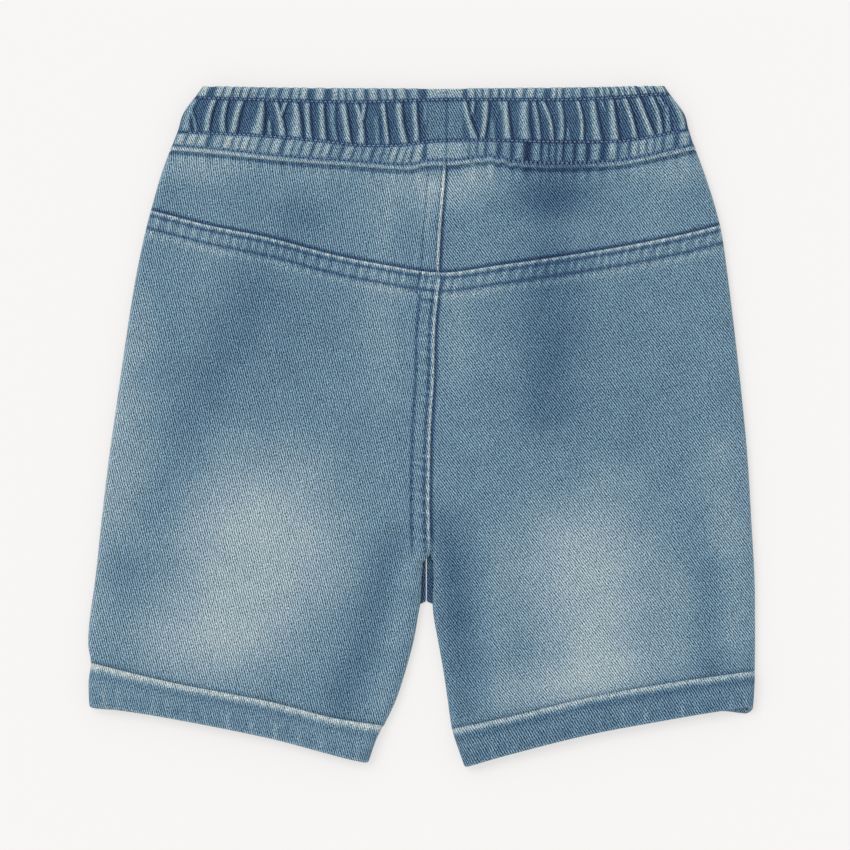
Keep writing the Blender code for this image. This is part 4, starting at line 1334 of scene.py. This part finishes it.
def make_cuff(name, side):
    stops = loop_stops(np.linspace(0, 1, CUFF_COLUMNS), np.linspace(0, 1, CUFF_UNDER_COLUMNS))
    corner = side_across(side, meet(lambda up: side_across(side, up),
                                    lambda across: hem_up(side, across)))
    share = np.array([row[0] for row in CUFF_SECTION])
    depth = np.array([row[1] for row in CUFF_SECTION])

    def up_at(across, share, under):
        near_corner = ease(1 - np.abs(across - corner) / UNDER_HEM_REACH)
        hem = hem_up(side, across) - UNDER_HEM_DROP[side] * under * near_corner
        return mix(hem, cuff_top_up(side, across) + CUFF_LAP, share)

    def end(read, outward_side):
        """Where the rounded side of the cuff starts, row by row."""
        low = meet(lambda up: read(side, up), lambda across: hem_up(side, across))
        high = meet(lambda up: read(side, up), lambda across: cuff_top_up(side, across))
        return read(side, mix(low, high, share)) - outward_side * LOOP_ROLL

    outer, inner = end(side_across, side), end(inseam_across, -side)
    half = CUFF_HEIGHT / 2
    points = np.zeros((len(stops), len(share), 3))
    wear_and_highlight = np.zeros(points.shape[:2])
    ink_and_shade = np.zeros(points.shape[:2])
    for index, (face, run, angle) in enumerate(stops):
        if face == "over":
            across = mix(outer, inner, run)
            up = up_at(across, share, 0.0)
            folds = CUFF_FOLD_SHARE * stroke_sum(FOLDS, across, up + CUFF_FOLD_LIFT)
            puckers = 0.10 * roping(across * 0.8, share) * bell(share - 0.93, 0.12)
            waves = 0.16 * np.sin(across / 9.0 + 2.0 * share + side) * np.sin(across / 23.0)
            height = CUFF_HEIGHT + folds + puckers + waves - depth
        elif face == "under":
            across = mix(inner, outer, run)
            up = up_at(across, share, 1.0)
            height = depth
        else:
            start = inner if face == "after" else outer
            away = -side if face == "after" else side
            across = start + away * (LOOP_ROLL - depth) * math.cos(angle)
            up = up_at(across, share, (1 - math.sin(angle)) / 2)
            height = half + (half - depth) * math.sin(angle)
        points[index] = np.stack([across, up - LENGTH / 2, height], axis=-1)
        outside = depth < 0.9
        ragged = 0.02 * np.sin(across / 2.3) * np.sin(across / 7.1) + 0.012 * roping(across)
        fold = bell(1 - share - 0.055 - ragged, CUFF_FOLD_WEAR[side])
        fold = fold * (0.80 + 0.20 * roping(across * 0.8))
        spots = np.maximum(roping(across * 0.55, share), 0) ** 2 * bell(share - 0.22, 0.22)
        hem = bell(share - 0.01, 0.05) * (0.25 + 0.2 * roping(across)) + HEM_SPOTS * spots
        wear_and_highlight[index] = np.where(outside, fold + hem, 0.3)
        creased = 0.18 * bell(share - 0.75, 0.12) + 0.10 * bell(share - 0.2, 0.2)
        ink_and_shade[index] = np.where(outside, creased, 0.2)
    weave = ring_weave(points, stops, -side, -1)
    fade = CUFF_FADE[side] * bell(points[..., 0] - corner, CUFF_FADE_REACH)
    marks = {"fade": fade, "wear_and_highlight": wear_and_highlight, "ink_and_shade": ink_and_shade}
    cuff = cloth_ring(name + "_cloth", points, weave, marks,
                      denim(name + "_denim", CUFF_SHADE[side], CUFF_RIBS[side]))
    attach(cuff, "root")
    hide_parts(name)
    return cuff


for label, hand in (("left", -1), ("right", 1)):
    cuff = make_cuff("cuff_" + label, hand)

# ---------------------------------------------------------------------------
# Waistband. A folded strip of denim round a wide elastic that draws it into
# gathers. Three rows of stitches part it into a frill, the elastic's channel
# and a narrow channel below. A short stretch at the middle lies flat.
# ---------------------------------------------------------------------------

BAND_WALL = 2.8
BAND_LIP = 0.9                  # wall of the waistband at its lower edge
BAND_SHADE = 0.36
BAND_RIBS = 63                  # angle of the twill
BAND_HALF = 110.0               # about half its width, to find its ends from
BAND_PARTS = 720                # columns over the back
BAND_UNDER_PARTS = 150
BAND_GATHER_RISE = 2.1          # swing of the face between crests and hollows,
BAND_GATHER_SINK = 0.75         # and how much of it is below the profile
FLAT_PART = (1.6, 19.5)         # the stretch with no gathers
JOIN_ACROSS = 11.2              # the seam that joins the strip's ends

# Ridges of the frill above the top row of stitches.
FRILL_RIDGES = (
    -97.6, -90.4, -86.4, -82.3, -78.7, -74.7, -70.7, -65.7, -60.4, -55.9, -52.3, -45.1,
    -38.4, -35.2, -31.6, -27.1, -21.3, -16.8, -13.7, -8.7, -2.9, 22.7, 26.2, 29.4, 33.4,
    37.0, 39.7, 44.2, 49.1, 53.6, 59.5, 62.1, 66.2, 70.2, 76.5, 81.0, 83.7, 87.3, 90.4,
    93.1, 95.8, 100.7, 103.9, 108.4,
)

# Gathers over the elastic, between the middle and the top row of stitches: a
# ridge's places at its foot and top, how far it bows between them, its widths
# there, how full it is and the shares of the way up between which it shows.
Gather = namedtuple("Gather", "foot top bow foot_width top_width rise low high")
GATHERS = [Gather(*row) for row in (
    (-105.3, -100.6, -1.6, 3.9, 2.0, 0.70, 0.0, 1.0),
    (-100.4, -104.3, 0.0, 1.6, 1.4, 0.60, 0.0, 0.62),
    (-96.1, -92.5, -0.8, 2.3, 2.2, 1.00, 0.0, 1.0),
    (-88.7, -87.1, -0.9, 2.5, 2.0, 0.90, 0.0, 1.0),
    (-84.3, -80.5, -0.4, 2.7, 2.4, 1.00, 0.0, 1.0),
    (-73.8, -71.3, 0.6, 4.6, 1.6, 1.00, 0.0, 1.0),
    (-67.8, -68.4, 0.0, 1.8, 1.4, 0.65, 0.0, 0.38),
    (-62.1, -65.4, 0.6, 2.9, 1.7, 1.00, 0.0, 1.0),
    (-66.4, -60.4, 0.0, 1.6, 1.6, 0.90, 0.62, 1.0),
    (-56.0, -56.6, 0.7, 4.7, 2.0, 0.95, 0.0, 1.0),
    (-50.0, -51.1, -0.2, 2.3, 2.1, 0.90, 0.0, 1.0),
    (-43.7, -44.6, -0.2, 2.6, 2.0, 1.00, 0.0, 1.0),
    (-38.1, -39.7, -0.7, 2.0, 2.6, 0.55, 0.0, 1.0),
    (-32.4, -35.1, 0.0, 2.5, 2.3, 1.00, 0.0, 1.0),
    (-26.7, -29.3, 1.0, 2.9, 1.6, 1.00, 0.0, 1.0),
    (-28.4, -25.2, 0.0, 1.8, 1.8, 0.90, 0.62, 1.0),
    (-19.3, -20.5, 0.0, 2.0, 1.6, 0.45, 0.0, 0.6),
    (-15.0, -17.3, 0.1, 1.7, 1.7, 1.00, 0.0, 1.0),
    (-7.1, -9.9, -0.7, 2.7, 2.3, 1.00, 0.0, 1.0),
    (-1.8, -3.2, 0.0, 2.2, 2.1, 0.90, 0.0, 1.0),
    (1.8, 2.0, -0.1, 1.4, 1.4, 0.60, 0.5, 1.0),
    (24.3, 19.2, -0.6, 2.9, 1.9, 0.95, 0.0, 1.0),
    (21.6, 23.5, 0.0, 1.5, 1.7, 0.70, 0.68, 1.0),
    (27.3, 28.9, 0.5, 1.9, 2.5, 1.00, 0.0, 1.0),
    (32.3, 31.8, 0.0, 2.4, 2.0, 0.45, 0.0, 0.45),
    (38.9, 37.5, 0.0, 2.8, 2.1, 1.00, 0.0, 1.0),
    (41.1, 35.0, 0.0, 1.6, 1.6, 0.60, 0.75, 1.0),
    (47.1, 46.5, -0.5, 4.0, 3.2, 0.85, 0.0, 1.0),
    (52.8, 50.2, 0.5, 1.9, 1.8, 0.75, 0.0, 1.0),
    (58.6, 54.0, 1.4, 1.6, 1.8, 0.95, 0.0, 1.0),
    (62.7, 61.7, 0.8, 2.1, 2.0, 0.85, 0.0, 1.0),
    (66.0, 65.2, 0.0, 1.5, 1.2, 0.40, 0.0, 0.28),
    (71.8, 69.8, 1.1, 1.7, 1.5, 1.00, 0.0, 1.0),
    (79.2, 76.6, 0.0, 3.5, 2.2, 0.90, 0.0, 1.0),
    (87.8, 80.3, 0.0, 1.5, 1.5, 0.55, 0.78, 1.0),
    (87.0, 84.9, 0.1, 3.2, 2.1, 1.00, 0.0, 1.0),
    (88.3, 88.3, 0.0, 1.2, 1.2, 0.50, 0.86, 1.0),
    (96.0, 91.0, 0.5, 2.1, 1.9, 1.00, 0.0, 1.0),
    (103.5, 96.7, 0.0, 2.6, 2.0, 1.00, 0.0, 1.0),
    (107.2, 102.6, 1.2, 2.2, 2.0, 0.85, 0.0, 1.0),
    (115.7, 105.7, 0.0, 1.8, 1.8, 0.60, 0.76, 1.0),
    (111.0, 109.4, 0.0, 2.1, 1.8, 0.60, 0.05, 0.62),
    (117.3, 110.8, 1.9, 2.6, 1.8, 0.85, 0.0, 1.0),
)]
CREST_SHARE = 0.6               # a crest's own width in a ridge's whole width

# The two rows of stitches above and below the elastic.
TOP_ROW = [Mark(*row) for row in (
    (-103.9, 300.4),
    (-92.7, 299.9),
    (-59.0, 298.8),
    (-27.6, 298.2),
    (11.4, 299.3),
    (66.6, 299.3),
    (89.1, 300.4),
    (107.0, 301.8),
)]
MIDDLE_ROW = [Mark(*row) for row in (
    (-107.5, 284.7),
    (-102.1, 284.5),
    (-74.3, 283.3),
    (-48.2, 281.1),
    (-27.6, 278.9),
    (-9.6, 278.9),
    (6.1, 280.7),
    (30.7, 281.1),
    (62.1, 280.4),
    (87.7, 280.6),
    (104.8, 282.9),
    (113.3, 284.8),
    (120.5, 285.8),
)]
LOWER_ROW_LIFT = 2.4            # the lowest row above the lower edge

# Wear and a painted highlight on the crests, wear of the flat stretch, and dye and painted
# shade in the hollows: on the lower channel, over the elastic and on the frill.
CREST_WEAR_AND_HIGHLIGHT = (0.80, 0.90, 1.0)
FLAT_WEAR = (0.55, 0.20, 0.75)
HOLLOW_INK_AND_SHADE = (0.42, 0.22, 0.28)

# How far the frill's ridges lean, place by place, from this height up.
FRILL_FOOT = 302.0
FRILL_LEAN = ((-100.0, 0.3), (-70.0, 0.3), (-50.0, 0.12), (-10.0, -0.15), (35.0, 0.0),
              (55.0, 0.1), (85.0, -0.2), (102.0, -0.5))
LOWER_SLANT = (0.35, 0.05)      # lean of the lower ridges on the left and on the right

# How much paler the lower channel is, place by place.
LOWER_PALE = ((-110.0, 0.14), (-70.0, 0.08), (-40.0, 0.02), (14.0, 0.05), (32.0, 0.0),
              (50.0, -0.16), (70.0, -0.16), (90.0, 0.0), (120.0, 0.06))
TOP_SAG = 1.05                  # dip of the top edge at the middle
TOP_SCALLOP = 0.4               # depth of its hollows between ridges

# The waistband's face from its lower edge (zone 0) over the lowest (1), the
# middle (2) and the top row of stitches (3) to the top edge (4).
BandRow = namedtuple("BandRow", "zone height ripple")
BAND_PROFILE = [BandRow(*row) for row in (
    (0.0, 5.9, 0.10),
    (0.4, 6.5, 0.20),
    (0.8, 6.4, 0.10),
    (1.0, 6.15, 0.05),
    (1.2, 6.4, 0.35),
    (1.5, 6.75, 0.80),
    (1.8, 6.5, 0.50),
    (2.0, 6.15, 0.12),
    (2.12, 6.5, 0.55),
    (2.5, 6.9, 1.0),
    (2.88, 6.6, 0.60),
    (3.0, 6.15, 0.12),
    (3.2, 6.5, 0.60),
    (3.6, 6.8, 0.80),
    (3.9, 6.5, 0.60),
    (4.0, 6.1, 0.35),
)]


def zone_up(zone, across):
    """Where a zone of the waistband's face is."""
    foot = band_foot_up(across)
    top = LENGTH - TOP_SAG * (1 - np.clip(across / 100.0, -1.0, 1.0) ** 2)
    lines = [foot, foot + LOWER_ROW_LIFT, read_curve(MIDDLE_ROW, across),
             read_curve(TOP_ROW, across), top]
    low = np.clip(np.floor(zone).astype(int), 0, 3)
    share = zone - low
    start, end = np.choose(low, lines[:4]), np.choose(low, lines[1:])
    return mix(start, end, share)


def elastic_gathers(across, share):
    """Crests of the gathers over the elastic and the painted shadow line at the right of each."""
    crest, line = 0.0 * across, 0.0 * across
    for row in GATHERS:
        width = CREST_SHARE * mix(row.foot_width, row.top_width, np.clip(share, 0, 1))
        bow = row.bow * np.sin(math.pi * np.clip(share, 0, 1))
        away = across - mix(row.foot, row.top, share) - bow
        shown = ease((share - row.low) / 0.12 + 1.0) * ease((row.high - share) / 0.12 + 1.0)
        crest = np.maximum(crest, row.rise * shown * ridge(away, width, 2.6))
        line = np.maximum(line, row.rise * shown * bell(away - 1.15 * width, 0.45 * width))
    return crest, line * (1 - crest)


def band_face(zone, across):
    """Height of the waistband's face and its marks."""
    zone = zone + 0.0 * across
    up = zone_up(zone, across)
    middle_row = read_curve(MIDDLE_ROW, across)
    share = (up - middle_row) / (read_curve(TOP_ROW, across) - middle_row)
    main, line = elastic_gathers(across, share)
    lean = read_curve(FRILL_LEAN, across)
    frill = close_ridges(across - lean * (up - FRILL_FOOT), FRILL_RIDGES, 0.47)
    slant = mix(LOWER_SLANT[0], LOWER_SLANT[1], ease((across + 10.0) / 20.0))
    low_middle = (band_foot_up(across) + LOWER_ROW_LIFT + middle_row) / 2
    low = close_ridges(across - slant * (up - low_middle), LOWER_RIDGES)
    on_elastic = ease((zone - 1.94) / 0.1) * (1 - ease((zone - 2.96) / 0.1))
    on_frill = ease((zone - 2.96) / 0.1)
    flat = ease((across - FLAT_PART[0]) / 2.0) * ease((FLAT_PART[1] - across) / 2.0)

    def by_part(lower, elastic, top):
        return mix(mix(lower, elastic, on_elastic), top, on_frill)

    crest = by_part(low, main, frill) * (1 - flat)
    join = bell(across - JOIN_ACROSS, 0.5)
    height = read_curve([(row.zone, row.height) for row in BAND_PROFILE], zone)
    ripple = read_curve([(row.zone, row.ripple) for row in BAND_PROFILE], zone)
    gathers = BAND_GATHER_RISE * crest - BAND_GATHER_SINK * (1 - flat)
    height = height + ripple * gathers - 0.25 * join
    height = height + 0.12 * roping(across * 1.2) * bell(zone - 0.3, 0.5)
    rows = np.minimum(sum(bell(up - zone_up(np.full_like(across, float(row)), across), 0.75)
                          for row in (1, 2, 3)), 1.0)
    lip = bell(up - band_foot_up(across) - 0.8, 1.5) * (0.70 + 0.18 * roping(across * 1.1))
    lip = lip * (1 - 0.35 * bell(across - 62.0, 16.0))
    above_edge = ease((zone - 0.95) / 0.1)
    # Crests are worn pale and carry a painted highlight; the hollows keep dye and carry painted
    # shade.
    pale = crest * by_part(*CREST_WEAR_AND_HIGHLIGHT) * above_edge + flat * by_part(*FLAT_WEAR)
    wear_and_highlight = np.maximum(pale * (1 - 0.8 * rows), lip) + 0.2 * bell(zone - 4.0, 0.2)
    hollow = (1 - crest) * (1 - flat) * above_edge
    ink_and_shade = by_part(*HOLLOW_INK_AND_SHADE) * hollow ** 1.3
    # A painted shadow along the right side of each gather over the elastic.
    ink_and_shade = ink_and_shade + 0.65 * line * on_elastic * (1 - flat)
    ink_and_shade = np.maximum(ink_and_shade, 0.85 * rows) * (1 - 0.85 * np.clip(lip, 0, 1)) + 0.5 * join
    fade = read_curve(LOWER_PALE, across) * (1 - ease((zone - 1.9) / 0.2))
    return height, {"fade": fade, "wear_and_highlight": wear_and_highlight, "ink_and_shade": ink_and_shade}


# Rows round the waistband's wall: a zone of its face and a depth into its wall.
BAND_SECTION = (
    [(0.0, 0.75), (0.03, 0.3), (0.12, 0.06)]
    + [(zone, 0.0) for zone in np.linspace(0.25, 0.95, 5)]
    + [(zone, 0.0) for zone in np.linspace(1.0, 1.95, 15)]
    + [(zone, 0.0) for zone in np.linspace(2.0, 2.97, 27)]
    + [(zone, 0.0) for zone in np.linspace(3.0, 3.92, 12)]
    + [(3.97, 0.2), (3.99, 0.7), (4.0, 1.4), (3.98, 2.1), (3.9, 2.7)]
    + [(3.2, BAND_WALL), (2.5, BAND_WALL), (1.5, BAND_WALL), (1.0, 1.8), (0.4, 1.1)]
    + [(0.06, BAND_LIP)]
)


def make_waistband(name):
    zone = np.array([row[0] for row in BAND_SECTION])
    depth = np.array([row[1] for row in BAND_SECTION])
    stops = loop_stops(np.linspace(0, 1, BAND_PARTS), np.linspace(0, 1, BAND_UNDER_PARTS))

    def end(side):
        """Where the rounded side of the waistband starts, row by row."""
        across = np.full(len(zone), side * BAND_HALF)
        for _ in range(MEET_ROUNDS):
            across = side_across(side, zone_up(zone, across))
        return across - side * LOOP_ROLL

    left, right = end(-1), end(1)
    half = BAND_PROFILE[0].height / 2 + 0.2
    points = np.zeros((len(stops), len(zone), 3))
    marks = {label: np.zeros(points.shape[:2]) for label in ("fade", "wear_and_highlight", "ink_and_shade")}
    for index, (face, run, angle) in enumerate(stops):
        if face in ("over", "under"):
            across = mix(left, right, run) if face == "over" else mix(right, left, run)
            top, marked = band_face(zone, across)
            height = top - depth
            if face == "under":
                height = np.where(depth > 0, depth, 0.25 * (1 - marked["wear_and_highlight"].clip(0, 1)))
        else:
            side = 1 if face == "after" else -1
            start = right if side > 0 else left
            across = start + side * (LOOP_ROLL - depth) * math.cos(angle)
            _, marked = band_face(zone, across)
            height = half + (half - depth) * math.sin(angle)
            bump = 0.5 * math.cos(angle) * (marked["wear_and_highlight"].clip(0, 1) - 0.4)
            across = across + side * np.where(depth == 0, bump, 0.0)
        dip = TOP_SCALLOP * (1 - close_ridges(across, FRILL_RIDGES)) * ease((zone - 3.4) / 0.6)
        up = zone_up(zone, across) - dip
        points[index] = np.stack([across, up - LENGTH / 2, height], axis=-1)
        for label in marks:
            marks[label][index] = np.where(depth < 1.0, marked[label], 0.2)
    band = cloth_ring(name + "_cloth", points, ring_weave(points, stops, 1, 1), marks,
                      denim(name + "_denim", BAND_SHADE, BAND_RIBS))
    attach(band, "root")
    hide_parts(name)
    return band


waistband = make_waistband("waistband")


# Rows of the waistband's stitches: the zone that each is on, how far above that
# line it runs and its ends.
StitchRow = namedtuple("StitchRow", "zone lift start end")
EDGE_ROW_ENDS = (side_across(-1, 279.0) + 4.5, side_across(1, 290.0) - 2.5)
STITCH_ROWS = [StitchRow(*row) for row in (
    (3, 0.0, -99.0, 109.0),
    (2, 0.0, side_across(-1, 290.0) + 4.5, side_across(1, 290.0) - 4.5),
    (1, 0.35, *EDGE_ROW_ENDS),
    (1, -0.35, *EDGE_ROW_ENDS),
)]
STITCH_ROW_POINTS = 900


def sew_waistband():
    lines = []
    for row, inset, start, end in STITCH_ROWS:
        across = np.linspace(start, end, STITCH_ROW_POINTS)
        zone = np.full_like(across, float(row))
        up = zone_up(zone, across) + inset
        lines.append(list(zip(across, up, band_face(zone, across)[0])))
    sew("waistband_stitches", lines[:2], pale_thread, length=1.35,
        thickness=0.6, pitch=2.0, seed=11)
    sew("waistband_edge_stitches", lines[2:], pale_thread, length=1.2,
        thickness=0.5, pitch=2.0, seed=12)


sew_waistband()
